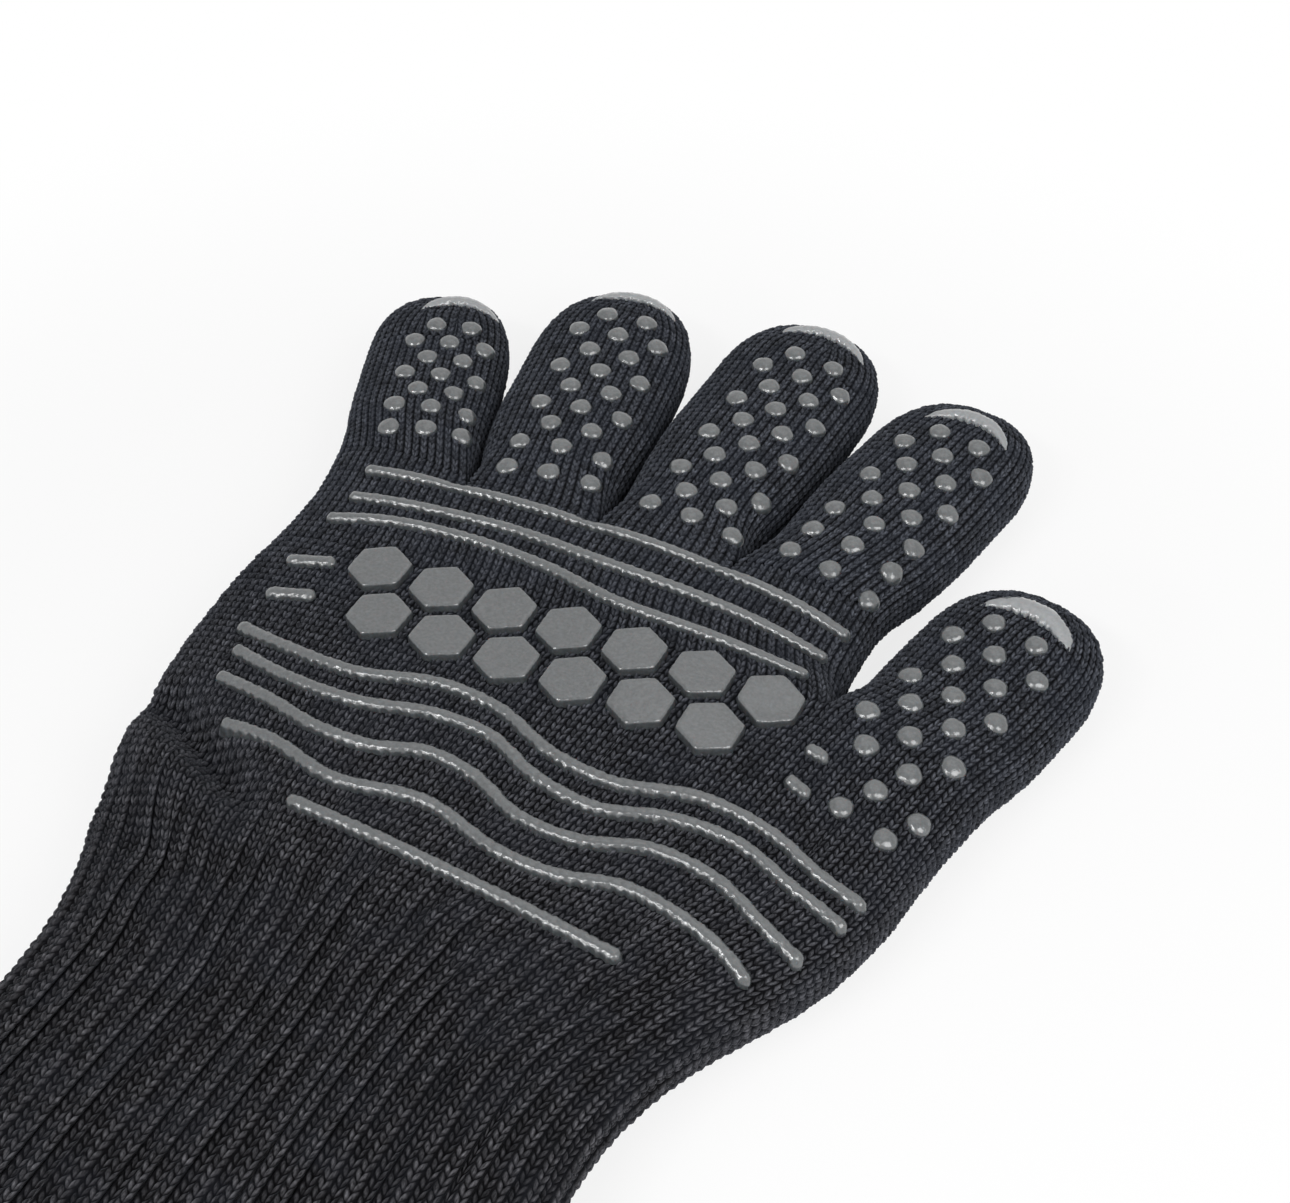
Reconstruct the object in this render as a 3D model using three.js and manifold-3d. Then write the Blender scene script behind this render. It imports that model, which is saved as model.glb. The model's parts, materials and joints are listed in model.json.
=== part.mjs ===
import * as THREE from 'three';
import { mergeVertices } from 'three/addons/utils/BufferGeometryUtils.js';
import Module from 'manifold-3d';

// Right hand heat resistant glove, lying on its back with the printed palm up.
// Millimetres. Fingers point to +Y, the thumb side is +X and the palm print faces +Z.
// Two knitted layers, an outer shell and a lining, are open at the cuff and bound together
// there. The shell carries raised silicone grips. Until the glove is centred at the end,
// X = 0, Y = 0 is the datum of the palm print and Z = 0 is the table.

const wasm = await Module();
wasm.setup();

// Knit layers and running gaps
const shellWall = 1.9;
const liningWall = 1.3;
const layerGap = 0.35;
const seatGap = 0.3;
const foldGap = 0.5;
const fingerGap = 1.2;
const overrun = 8;

// Cuff and palm
const cuffLength = 124;
const cuffWidth = 106;
const cuffThickness = 25;
const wristWidth = 103;
const palmLength = 132;
const palmThickness = 21.5;
const knuckleThickness = 19.4;
const knuckleY = 21;
const restSink = 0.9;

// Binding sewn over both layers at the cuff
const bindingDepth = 8;
const bindingWall = 0.9;

// Digits: width at the fold line, fullest width, length past the fold line, splay in degrees,
// and the length of the rounded end as a share of the width
const fingerThickness = 18.6;
const fingerBaseLength = 15;
const littleFinger = {
  name: 'little', rootWidth: 28.8, width: 32.4, length: 64.6, splay: -17.7, endShare: 0.90,
};
const ringFinger = {
  name: 'ring', rootWidth: 29.9, width: 37.4, length: 82.4, splay: -8.6, endShare: 0.91,
};
const middleFinger = {
  name: 'middle', rootWidth: 30.2, width: 37.4, length: 87.8, splay: 2.2, endShare: 0.76,
};
const indexFinger = {
  name: 'index', rootWidth: 31, width: 35.4, length: 79.2, splay: 10.2, endShare: 0.62,
};
const thumb = {
  name: 'thumb', rootWidth: 34.4, width: 37, length: 60, splay: 12.6, endShare: 0.62,
};
const thumbBaseLength = 64;

// The index finger's fold line lies behind the knuckle line, the thumb's starts at the crotch
const indexSetBack = 4;
const crotchDrop = 32;

// Silicone print
const printWidth = 110;
const dotDiameter = 4.8;
const dotHeight = 1.1;
const dotSink = 0.9;
const dotColumnPitch = 9.5;
const gripSink = 0.8;
const stripeWidth = 2.7;
const stripeHeight = 1.5;
const stripeStep = 7;
const dashWidth = 2.9;
const dashStep = 4.5;
const crescentWidth = 3.2;
const crescentHeight = 1.8;
const crescentStep = 3.6;
const padWidth = 11.4;
const padSpacing = 2.5;
const padHeight = 1.6;
const padBevel = 0.45;
const padsInLongRow = 7;

// Roundness of the sections and the finger ends: 2 is an ellipse, more is squarer
const palmSquareness = 3.6;
const fingerSquareness = 2.5;
const tipSquareness = 2.35;

// Faces round each skin
const palmSides = 20;
const fingerSides = 16;
const fingerCavitySides = 12;
const fingerBoreSides = 8;
const fingerTipRings = 5;
const cavityTipRings = 3;
const dotSides = 5;
const surfaceTolerance = 0.06;

const degrees = Math.PI / 180;
const liningInset = shellWall + layerGap;
const boreInset = liningInset + liningWall;
const wristY = knuckleY - palmLength;
const cuffEndY = wristY - cuffLength;
const bindingLift = bindingWall + seatGap;

// Fingers stand side by side along the knuckle line, the little finger first
const fingers = [littleFinger, ringFinger, middleFinger, indexFinger];
const digits = [...fingers, thumb];
for (const digit of digits) {
  const turn = digit.splay * degrees;
  digit.along = new THREE.Vector2(Math.sin(turn), Math.cos(turn));
  digit.across = new THREE.Vector2(Math.cos(turn), -Math.sin(turn));
  digit.cap = digit.width * digit.endShare;
  digit.span = digit.rootWidth / Math.cos(turn);
  digit.baseLength = fingerBaseLength;
  digit.baseNarrowShare = 0.22;
  digit.baseDropShare = 0.16;
}
thumb.baseLength = thumbBaseLength;
thumb.baseNarrowShare = 0.6;
thumb.baseDropShare = 0.1;

const littleEdgeShare = 0.668;
const knuckleWidth = fingers.reduce((sum, digit) => sum + digit.span + fingerGap, -fingerGap);
const littleEdgeX = -knuckleWidth * littleEdgeShare;
let nextEdgeX = littleEdgeX;
for (const digit of fingers) {
  digit.rootX = nextEdgeX + digit.span / 2;
  digit.rootY = digit === indexFinger ? knuckleY - indexSetBack : knuckleY;
  nextEdgeX += digit.span + fingerGap;
}
const indexEdgeX = nextEdgeX - fingerGap;

// Palm outline between the wrist and the knuckles: place along the palm length, left and
// right edge in knuckle widths, and thickness in palm thicknesses
const palmOutlineShares = [
  [0.10, -0.508, 0.358, 0.97],
  [0.22, -0.562, 0.406, 0.98],
  [0.36, -0.596, 0.500, 1.00],
  [0.50, -0.626, 0.536, 1.00],
  [0.62, -0.636, 0.470, 1.00],
  [0.72, -0.636, 0.352, 0.99],
  [0.80, -0.628, 0.327, 0.97],
  [0.90, -0.638, 0.330, 0.94],
];
const cuffMiddleShare = -0.070;

function stationAt(y, middle, width, thickness) {
  return { y, left: middle - width / 2, right: middle + width / 2, thickness };
}

function handStations() {
  const middle = knuckleWidth * cuffMiddleShare;
  const meanWidth = (cuffWidth + wristWidth) / 2;
  const rows = [
    stationAt(cuffEndY, middle, cuffWidth, cuffThickness),
    stationAt(wristY - cuffLength / 2, middle, meanWidth, cuffThickness),
    stationAt(wristY, middle, wristWidth, palmThickness),
  ];
  for (const [place, left, right, thickness] of palmOutlineShares) {
    rows.push({
      y: wristY + place * palmLength,
      left: left * knuckleWidth,
      right: right * knuckleWidth,
      thickness: thickness * palmThickness,
    });
  }
  const knuckleMiddle = (littleEdgeX + indexEdgeX) / 2;
  rows.push(stationAt(knuckleY, knuckleMiddle, knuckleWidth, knuckleThickness));
  return rows;
}
const stations = handStations();

function stationSlope(index, key) {
  const before = stations[Math.max(0, index - 1)];
  const after = stations[Math.min(stations.length - 1, index + 1)];
  return (after[key] - before[key]) / (after.y - before.y);
}

// Smooth cubic through the stations
function handValue(y, key) {
  let i = 0;
  while (i < stations.length - 2 && y > stations[i + 1].y) i++;
  const from = stations[i];
  const to = stations[i + 1];
  const span = to.y - from.y;
  const t = THREE.MathUtils.clamp((y - from.y) / span, 0, 1);
  const rise = t * t * (3 - 2 * t);
  const bend = stationSlope(i, key) * (1 - t) - stationSlope(i + 1, key) * t;
  return from[key] + (to[key] - from[key]) * rise + span * t * (1 - t) * bend;
}

// The thumb's fold line starts at the crotch beside the index finger
const crotchY = knuckleY - crotchDrop;
thumb.rootX = handValue(crotchY, 'right') + (thumb.rootWidth / 2) * thumb.across.x;
thumb.rootY = crotchY + (thumb.rootWidth / 2) * thumb.across.y;

// Height of a superellipse at a share of its half width
function crownShare(share, squareness) {
  return Math.pow(Math.max(0, 1 - Math.pow(Math.abs(share), squareness)), 1 / squareness);
}

// Section of a knit tube lying on a table: a superellipse whose underside is pressed flat
function tubeSection({ halfWidth, half, middle, floor }, squareness, sides) {
  const points = [];
  for (let i = 0; i < sides; i++) {
    const angle = (i / sides) * 2 * Math.PI;
    const c = Math.cos(angle);
    const s = Math.sin(angle);
    const across = Math.sign(c) * Math.pow(Math.abs(c), 2 / squareness) * halfWidth;
    const rise = Math.sign(s) * Math.pow(Math.abs(s), 2 / squareness) * half;
    points.push(new THREE.Vector2(across, Math.max(middle + rise, floor)));
  }
  return points;
}

// Size of the hand's section; the inset moves its whole skin inwards
function handSize(y, inset) {
  const left = handValue(y, 'left');
  const right = handValue(y, 'right');
  const half = (handValue(y, 'thickness') + restSink) / 2;
  const lifted = y <= cuffEndY + bindingDepth + seatGap;
  return {
    centre: (left + right) / 2,
    halfWidth: (right - left) / 2 - inset,
    half: half - inset,
    middle: half - restSink,
    floor: inset + (lifted ? bindingLift : 0),
  };
}

// Size of a digit's section at a distance past its fold line, moved inwards by the inset
function digitSize(digit, distance, inset) {
  const straight = digit.length - digit.cap;
  const growth = THREE.MathUtils.smoothstep(distance, 0, straight);
  const thickness = THREE.MathUtils.lerp(knuckleThickness, fingerThickness, growth);
  const back = Math.max(0, -distance / digit.baseLength);
  const narrow = 1 - digit.baseNarrowShare * back * back;
  const drop = 1 - digit.baseDropShare * back * back;
  const rounding = crownShare((distance - straight) / (digit.cap - inset), tipSquareness);
  const shrink = distance > straight ? rounding : 1;
  const width = THREE.MathUtils.lerp(digit.rootWidth, digit.width, growth) * narrow;
  const half = (thickness * drop + restSink) / 2;
  return {
    halfWidth: (width / 2 - inset) * shrink,
    half: (half - inset) * shrink,
    middle: half - restSink,
    floor: inset,
  };
}

function digitPoint(digit, distance, offset, z) {
  const x = digit.rootX + digit.along.x * distance + digit.across.x * offset;
  const y = digit.rootY + digit.along.y * distance + digit.across.y * offset;
  return new THREE.Vector3(x, y, z);
}

// Height of the outer shell's upper side over a point of the table
function shellTop(x, y) {
  const hand = handSize(THREE.MathUtils.clamp(y, cuffEndY, knuckleY), 0);
  const handShare = (x - hand.centre) / hand.halfWidth;
  const onHand = y <= knuckleY && Math.abs(handShare) < 1;
  let top = onHand ? hand.middle + hand.half * crownShare(handShare, palmSquareness) : 0;
  for (const digit of digits) {
    const offset = new THREE.Vector2(x - digit.rootX, y - digit.rootY);
    const distance = offset.dot(digit.along);
    if (distance < -digit.baseLength || distance > digit.length) continue;
    const size = digitSize(digit, distance, 0);
    const share = offset.dot(digit.across) / size.halfWidth;
    if (Math.abs(share) >= 1) continue;
    top = Math.max(top, size.middle + size.half * crownShare(share, fingerSquareness));
  }
  return top;
}

// Turns every face round if the skin's enclosed volume comes out negative
function facingOut(positions, triangles) {
  const at = (index) => new THREE.Vector3().fromArray(positions, index * 3);
  let volume = 0;
  for (let t = 0; t < triangles.length; t += 3) {
    const normal = at(triangles[t + 1]).cross(at(triangles[t + 2]));
    volume += at(triangles[t]).dot(normal);
  }
  return volume > 0 ? triangles : triangles.toReversed();
}

// Closed skin through rings of points, each end closed by a fan to its own tip
function loft(rings, startTip, endTip) {
  const sides = rings[0].length;
  const start = rings.length * sides;
  const end = start + 1;
  const positions = [...rings.flat(), startTip, endTip].flatMap((p) => p.toArray());
  const triangles = [];
  for (let i = 0; i < sides; i++) {
    const j = (i + 1) % sides;
    triangles.push(start, j, i);
    for (let a = 0; a < start - sides; a += sides) {
      const b = a + sides;
      triangles.push(a + i, a + j, b + j, a + i, b + j, b + i);
    }
    triangles.push(end, end - 1 - sides + i, end - 1 - sides + j);
  }
  return { positions, triangles: facingOut(positions, triangles) };
}

// Closed skin of a section carried round a closed path: one row of points per path step
function hoop(rows) {
  const count = rows[0].length;
  const positions = rows.flat().flatMap((p) => p.toArray());
  const triangles = [];
  for (let i = 0; i < rows.length; i++) {
    const a = i * count;
    const b = ((i + 1) % rows.length) * count;
    for (let k = 0; k < count; k++) {
      const n = (k + 1) % count;
      triangles.push(a + k, a + n, b + n, a + k, b + n, b + k);
    }
  }
  return { positions, triangles: facingOut(positions, triangles) };
}

function middleOf(ring) {
  const sum = ring.reduce((total, point) => total.add(point), new THREE.Vector3());
  return sum.divideScalar(ring.length);
}

function solidOf({ positions, triangles }) {
  const vertProperties = Float32Array.from(positions);
  const triVerts = Uint32Array.from(triangles);
  return new wasm.Manifold(new wasm.Mesh({ numProp: 3, vertProperties, triVerts }));
}

function geometryOf({ positions, triangles }) {
  const geometry = new THREE.BufferGeometry();
  const place = new THREE.BufferAttribute(Float32Array.from(positions), 3);
  geometry.setAttribute('position', place);
  geometry.setIndex(new THREE.BufferAttribute(Uint32Array.from(triangles), 1));
  geometry.computeVertexNormals();
  return geometry;
}

function solidGeometry(solid) {
  const mesh = solid.simplify(surfaceTolerance).getMesh();
  return geometryOf({ positions: mesh.vertProperties, triangles: mesh.triVerts });
}

// Upright block in a digit's own directions, for cutting along its fold line
function blockSolid(origin, turn, acrossFrom, acrossTo, alongFrom, alongTo) {
  const height = Math.max(cuffThickness, palmThickness) + 2 * overrun;
  const width = acrossTo - acrossFrom;
  const length = alongTo - alongFrom;
  const block = new THREE.BoxGeometry(width, length, height);
  block.translate((acrossFrom + acrossTo) / 2, (alongFrom + alongTo) / 2, height / 2 - overrun);
  block.rotateZ(turn);
  block.translate(origin.x, origin.y, 0);
  block.deleteAttribute('normal');
  block.deleteAttribute('uv');
  const merged = mergeVertices(block);
  const positions = Array.from(merged.getAttribute('position').array);
  return solidOf({ positions, triangles: Array.from(merged.getIndex().array) });
}

// Hand and cuff in one loft, from a list of places along Y
function handBody(inset, sides, places) {
  const rings = places.map((y) => {
    const size = handSize(THREE.MathUtils.clamp(y, cuffEndY, knuckleY), inset);
    const outline = tubeSection(size, palmSquareness, sides);
    return outline.map((point) => new THREE.Vector3(size.centre + point.x, y, point.y));
  });
  return solidOf(loft(rings, middleOf(rings[0]), middleOf(rings.at(-1))));
}

// Knit tube of one digit, from its base inside the hand to its rounded tip
function digitBody(digit, inset, sides, tipRings) {
  const straight = digit.length - digit.cap;
  const base = inset - digit.baseLength;
  const distances = [base, base / 2, 0];
  distances.push(straight / 3, (straight * 2) / 3, straight);
  for (let k = 1; k < tipRings; k++) {
    const angle = (k / tipRings) * (Math.PI / 2);
    distances.push(straight + Math.pow(Math.sin(angle), 2 / tipSquareness) * (digit.cap - inset));
  }
  const rings = distances.map((distance) => {
    const outline = tubeSection(digitSize(digit, distance, inset), fingerSquareness, sides);
    return outline.map((point) => digitPoint(digit, distance, point.x, point.y));
  });
  const reach = digit.length - inset;
  const tip = digitPoint(digit, reach, 0, digitSize(digit, reach, inset).middle);
  return solidOf(loft(rings, middleOf(rings[0]), tip));
}

// Places of the rings along the cuff and the palm, as shares of their lengths
const cuffPlaceShares = [0, 0.065, 0.1, 0.4, 0.75];
const palmPlaceShares = [0, 0.12, 0.24, 0.36, 0.48, 0.60, 0.72, 0.86, 1];
const cuffCavityShares = [0.065, 0.1, 0.5];
const palmCavityShares = [0, 0.18, 0.36, 0.54, 0.72, 0.86];

function shellPlaces() {
  const cuff = cuffPlaceShares.map((share) => cuffEndY + share * cuffLength);
  return [...cuff, ...palmPlaceShares.map((share) => wristY + share * palmLength)];
}

// A hollow stops short of the fold lines by the thickness of the web between the fingers
function hollowPlaces(start, inset) {
  const cuff = cuffCavityShares.map((share) => cuffEndY + share * cuffLength);
  const palm = palmCavityShares.map((share) => wristY + share * palmLength);
  return [start, ...cuff, ...palm, indexFinger.rootY - foldGap - inset];
}

// Cuts that part the digits from the hand, leaving half of the fold gap on each side. Each
// finger's cut reaches into the next one's, and the outer ones reach past the hand.
function foldCuts() {
  const reach = Math.max(...digits.map((digit) => digit.length)) + overrun;
  const cuts = fingers.map((digit) => {
    const half = (digit.span + fingerGap) / 2;
    const from = digit === littleFinger ? -half - reach : -half;
    const to = digit === indexFinger ? half + reach : half + fingerGap;
    return blockSolid({ x: digit.rootX, y: digit.rootY }, 0, from, to, -foldGap / 2, reach);
  });
  const origin = { x: thumb.rootX, y: thumb.rootY };
  const from = -(thumb.width + fingerGap) / 2;
  const turn = -thumb.splay * degrees;
  cuts.push(blockSolid(origin, turn, from, thumb.width + overrun, -foldGap / 2, reach));
  return cuts;
}

function joined(solids) {
  return solids.reduce((whole, solid) => whole.add(solid));
}

function lessEach(solid, cuts) {
  return cuts.reduce((rest, cut) => rest.subtract(cut), solid);
}

// Silicone dots in rows of three and rows of two set between them, in column pitches
const tripleShares = [-1, 0, 1];
const pairShares = [-0.5, 0.5];
const outerPairShares = [0, 1];
const slantedPairShares = [0.25, 1.25];
const triplesThenPairs = (count) => Array.from({ length: count }, (_, row) => (
  row % 2 === 0 ? tripleShares : pairShares
));

// Of each digit, in shares of its length: distance of the first row past the fold line, pitch
// of the rows, and setback of the crescent from the tip. Then the shift of the whole pattern
// across the digit in column pitches, and the rows
const gripShares = {
  little: {
    first: 0.127, pitch: 0.096, setback: 0.13, shift: 0.48,
    rows: [tripleShares, ...triplesThenPairs(6)],
  },
  ring: {
    first: 0.084, pitch: 0.085, setback: 0.115, shift: 0.31,
    rows: [tripleShares, ...triplesThenPairs(8)],
  },
  middle: {
    first: 0.083, pitch: 0.0769, setback: 0.112, shift: 0.36,
    rows: triplesThenPairs(10),
  },
  index: {
    first: 0.115, pitch: 0.0871, setback: 0.12, shift: 0.19,
    rows: [tripleShares, tripleShares, ...triplesThenPairs(6)],
  },
  thumb: {
    first: -0.302, pitch: 0.1208, setback: 0.155, shift: -0.02,
    rows: [outerPairShares, slantedPairShares, pairShares, ...triplesThenPairs(6)],
  },
};
const likeRowsPitchShare = 1.2;

// Places of a digit's dots in distance and offset from the middle of its fold line
function dotPlaces(digit) {
  const { first, pitch, shift, rows } = gripShares[digit.name];
  const places = [];
  let share = first;
  rows.forEach((row, index) => {
    const likeLast = index > 0 && row === rows[index - 1];
    if (index > 0) share += pitch * (likeLast ? likeRowsPitchShare : 1);
    for (const column of row) {
      places.push([share * digit.length, (column + shift) * dotColumnPitch]);
    }
  });
  return places;
}

// Low dome set into the knit square to its surface
const domeShoulderShares = { radius: 0.72, height: 0.78 };

function dotSolid(digit, distance, offset) {
  const centre = digitPoint(digit, distance, offset, 0);
  const probe = dotDiameter / 4;
  const slopeX = shellTop(centre.x + probe, centre.y) - shellTop(centre.x - probe, centre.y);
  const slopeY = shellTop(centre.x, centre.y + probe) - shellTop(centre.x, centre.y - probe);
  centre.z = shellTop(centre.x, centre.y);
  const up = new THREE.Vector3(-slopeX, -slopeY, 2 * probe).normalize();
  const side = new THREE.Vector3(0, 1, 0).cross(up).normalize();
  const front = new THREE.Vector3().crossVectors(up, side);
  const radius = dotDiameter / 2;
  const levels = [
    [radius, -dotSink],
    [radius * domeShoulderShares.radius, dotHeight * domeShoulderShares.height],
  ];
  const rings = levels.map(([reach, height]) => {
    const ring = [];
    for (let i = 0; i < dotSides; i++) {
      const angle = (i / dotSides) * 2 * Math.PI;
      const point = centre.clone().addScaledVector(side, reach * Math.cos(angle));
      point.addScaledVector(front, reach * Math.sin(angle)).addScaledVector(up, height);
      ring.push(point);
    }
    return ring;
  });
  const foot = centre.clone().addScaledVector(up, -dotSink);
  return solidOf(loft(rings, foot, centre.clone().addScaledVector(up, dotHeight)));
}

// Hand in one layer: the body, the thumb's base and the finger roots, hollowed and parted
function handLayer(outerInset, innerInset, sides, innerSides, dots) {
  const layered = (inset, places, handSides, tubeSides) => joined([
    handBody(inset, handSides, places),
    ...digits.map((digit) => digitBody(digit, inset, tubeSides, cavityTipRings)),
  ]);
  const outerPlaces = outerInset > 0 ? hollowPlaces(cuffEndY, outerInset) : shellPlaces();
  const innerPlaces = hollowPlaces(cuffEndY - overrun, innerInset);
  const outer = joined([layered(outerInset, outerPlaces, sides.hand, sides.digit), ...dots]);
  const inner = layered(innerInset, innerPlaces, innerSides.hand, innerSides.digit);
  return lessEach(outer.subtract(inner), foldCuts());
}

// Digit in one layer, cut square along its fold line and closed at the tip
function digitLayer(digit, outerInset, innerInset, sides, innerSides, tipRings, dots) {
  const outer = joined([digitBody(digit, outerInset, sides, tipRings), ...dots]);
  const inner = digitBody(digit, innerInset, innerSides, cavityTipRings);
  const turn = digit === thumb ? -thumb.splay * degrees : 0;
  const origin = { x: digit.rootX, y: digit.rootY };
  const reach = digit.length + digit.width + overrun;
  const kept = blockSolid(origin, turn, -reach, reach, foldGap / 2, reach);
  return outer.subtract(inner).intersect(kept);
}

const shellSides = { hand: palmSides, digit: fingerSides };
const cavitySides = { hand: palmSides, digit: fingerCavitySides };
const boreSides = { hand: palmSides, digit: fingerBoreSides };

function palmShell() {
  const places = dotPlaces(thumb).filter(([distance]) => distance < 0);
  const dots = places.map(([distance, offset]) => dotSolid(thumb, distance, offset));
  return solidGeometry(handLayer(0, shellWall, shellSides, cavitySides, dots));
}

function palmLining() {
  return solidGeometry(handLayer(liningInset, boreInset, cavitySides, boreSides, []));
}

function fingerShell(digit) {
  const places = dotPlaces(digit).filter(([distance]) => distance > 0);
  const dots = places.map(([distance, offset]) => dotSolid(digit, distance, offset));
  const sides = [fingerSides, fingerCavitySides, fingerTipRings];
  return solidGeometry(digitLayer(digit, 0, shellWall, ...sides, dots));
}

function fingerLining(digit) {
  const sides = [fingerCavitySides, fingerBoreSides, cavityTipRings];
  return solidGeometry(digitLayer(digit, liningInset, boreInset, ...sides, []));
}

// Binding of U section round the cuff's cut edge, outside the shell and inside the lining
function cuffBinding() {
  const outside = -seatGap;
  const inside = boreInset + seatGap;
  const profile = [
    [outside, bindingDepth], [outside - bindingWall, bindingDepth],
    [outside - bindingWall, -seatGap - bindingWall], [inside + bindingWall, -seatGap - bindingWall],
    [inside + bindingWall, bindingDepth], [inside, bindingDepth],
    [inside, -seatGap], [outside, -seatGap],
  ];
  const columns = profile.map(([inset, rise]) => {
    const size = handSize(cuffEndY, inset);
    const outline = tubeSection(size, palmSquareness, palmSides);
    return outline.map((p) => new THREE.Vector3(size.centre + p.x, cuffEndY + rise, p.y));
  });
  const rows = columns[0].map((_, i) => columns.map((column) => column[i]));
  return geometryOf(hoop(rows));
}

// The shell's outer skin raised by the seat gap: what lies on the glove is cut to it
const seatSkin = joined([
  handBody(-seatGap, palmSides, shellPlaces()),
  ...digits.map((digit) => digitBody(digit, -seatGap, fingerSides, fingerTipRings)),
]);

function seatedGeometry(skin) {
  return solidGeometry(solidOf(skin).subtract(seatSkin));
}

// Share of a bead's half width and of its height where its rounded top begins
const beadShoulderShare = 0.7;

// Raised bead along a line of points on the table, laid on the shell with pointed ends
function beadGeometry(points, { width, height, endShare }, step) {
  const curve = new THREE.SplineCurve(points);
  const count = Math.max(3, Math.round(curve.getLength() / step));
  const rings = [];
  for (let i = 0; i <= count; i++) {
    const t = i / count;
    const fullness = Math.sqrt(Math.sin(Math.PI * t));
    const size = THREE.MathUtils.lerp(endShare, 1, fullness);
    rings.push(beadRing(curve.getPointAt(t), curve.getTangentAt(t), width * size, height * size));
  }
  const first = endTip(points[0], curve.getTangentAt(0).negate(), (width * endShare) / 2);
  const last = endTip(points.at(-1), curve.getTangentAt(1), (width * endShare) / 2);
  return seatedGeometry(loft(rings, first, last));
}

// Foot sunk in the knit and rounded top of a bead, square to its line
function beadRing(centre, tangent, width, height) {
  const normal = new THREE.Vector2(tangent.y, -tangent.x);
  const point = (across, rise) => {
    const place = centre.clone().addScaledVector(normal, (across * width) / 2);
    return new THREE.Vector3(place.x, place.y, shellTop(place.x, place.y) + rise);
  };
  const shoulder = beadShoulderShare;
  return [point(-1, -gripSink), point(-1, seatGap), point(-shoulder, height * shoulder),
    point(0, height), point(shoulder, height * shoulder), point(1, seatGap), point(1, -gripSink)];
}

// Point in the knit where the end of a bead runs out
function endTip(centre, tangent, reach) {
  const place = centre.clone().addScaledVector(tangent, reach);
  return new THREE.Vector3(place.x, place.y, shellTop(place.x, place.y) - gripSink / 2);
}

// Stripes and dashes of the palm print, in hundredths of the print width from its datum
const arcShares = [
  [[-65, 12.3], [-44, 14.9], [-22, 15.2], [0, 14.4], [18, 13.1], [35, 10.8]],
  [[-63.2, 3.7], [-47.3, 6.2], [-33.6, 7.5], [-9, 5.7], [18, 4.8], [33.8, 3.2]],
  [[-63.6, -3.7], [-50, 0], [-33.6, 1.6], [-20, 0.4], [-4.5, -2.9], [18, -3.3], [33, -4.1]],
];
const waveShares = [
  [[-62.3, -34.5], [-50, -36.8], [-36.4, -37.8], [-20, -33.8], [-11, -34.5], [3, -39.8],
    [13.6, -41], [29, -37.8], [41, -39.6], [51, -44.4], [59, -46.2]],
  [[-59.5, -40], [-46, -43.2], [-32, -43.7], [-18, -40.4], [-9, -40.5], [2, -45],
    [13.6, -46.7], [25.5, -43.7], [36.4, -43.7], [47.5, -48.2], [57, -51.8]],
  [[-58.2, -46.8], [-47, -48.6], [-35, -51.3], [-25.5, -51.3], [-15.5, -48.2], [-7.3, -49],
    [3, -53.2], [13.6, -53.7], [25.5, -50.5], [36.4, -51.8], [47.3, -56.8], [53.2, -59]],
  [[-51.4, -56], [-41, -56.4], [-27.3, -59.5], [-11, -57.3], [4.5, -61], [13.6, -61.2],
    [24.5, -59], [36.4, -61.4], [46.5, -66]],
];
const heelLineShares = [[-31.8, -66], [-9, -67.3], [9, -68.6], [29, -70.5]];
const dashShares = [
  [[-64.1, -16.6], [-59.3, -15.5], [-54.5, -14.4]],
  [[-62.7, -25.5], [-58, -24.4], [-53.2, -23.4]],
  [[38.6, -20], [41, -20.5], [43.2, -21.3]],
  [[38.2, -27.5], [40.8, -28.4], [43.2, -29.5]],
];

function printPoints(shares) {
  const unit = printWidth / 100;
  return shares.map(([x, y]) => new THREE.Vector2(x * unit, y * unit));
}

// Crescent bead across the top of a fingertip, thick in its middle
const crescentChordShare = 0.56;
const crescentRiseShare = 0.135;
const crescentEndShare = 0.35;

function crescentGeometry(digit) {
  const halfChord = (digit.width * crescentChordShare) / 2;
  const rise = digit.width * crescentRiseShare;
  const radius = (halfChord * halfChord + rise * rise) / (2 * rise);
  const setback = digit.length * gripShares[digit.name].setback;
  const middleDistance = digit.length - setback - radius;
  const halfAngle = Math.asin(halfChord / radius);
  const points = [];
  const count = 6;
  for (let i = 0; i <= count; i++) {
    const angle = halfAngle * ((2 * i) / count - 1);
    const distance = middleDistance + radius * Math.cos(angle);
    const place = digitPoint(digit, distance, radius * Math.sin(angle), 0);
    points.push(new THREE.Vector2(place.x, place.y));
  }
  const size = { width: crescentWidth, height: crescentHeight, endShare: crescentEndShare };
  return beadGeometry(points, size, crescentStep);
}

// Six sided grip pad lying on the palm, with a bevelled upper edge
function padGeometry(centre) {
  const corner = padWidth / 2 / Math.cos(Math.PI / 6);
  const levels = [[corner, -gripSink], [corner, padHeight - padBevel], [corner - padBevel, padHeight]];
  const onShell = (x, y, rise) => new THREE.Vector3(x, y, shellTop(x, y) + rise);
  const rings = levels.map(([radius, rise]) => {
    const ring = [];
    for (let i = 0; i < 6; i++) {
      const angle = ((i + 0.5) / 6) * 2 * Math.PI;
      const x = centre.x + radius * Math.cos(angle);
      ring.push(onShell(x, centre.y + radius * Math.sin(angle), rise));
    }
    return ring;
  });
  const foot = onShell(centre.x, centre.y, -gripSink);
  return seatedGeometry(loft(rings, foot, onShell(centre.x, centre.y, padHeight)));
}

// Two staggered rows of pads, the lower one a pad shorter, round the middle of the pad field
const padFieldShares = [-8.2, -19];

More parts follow.
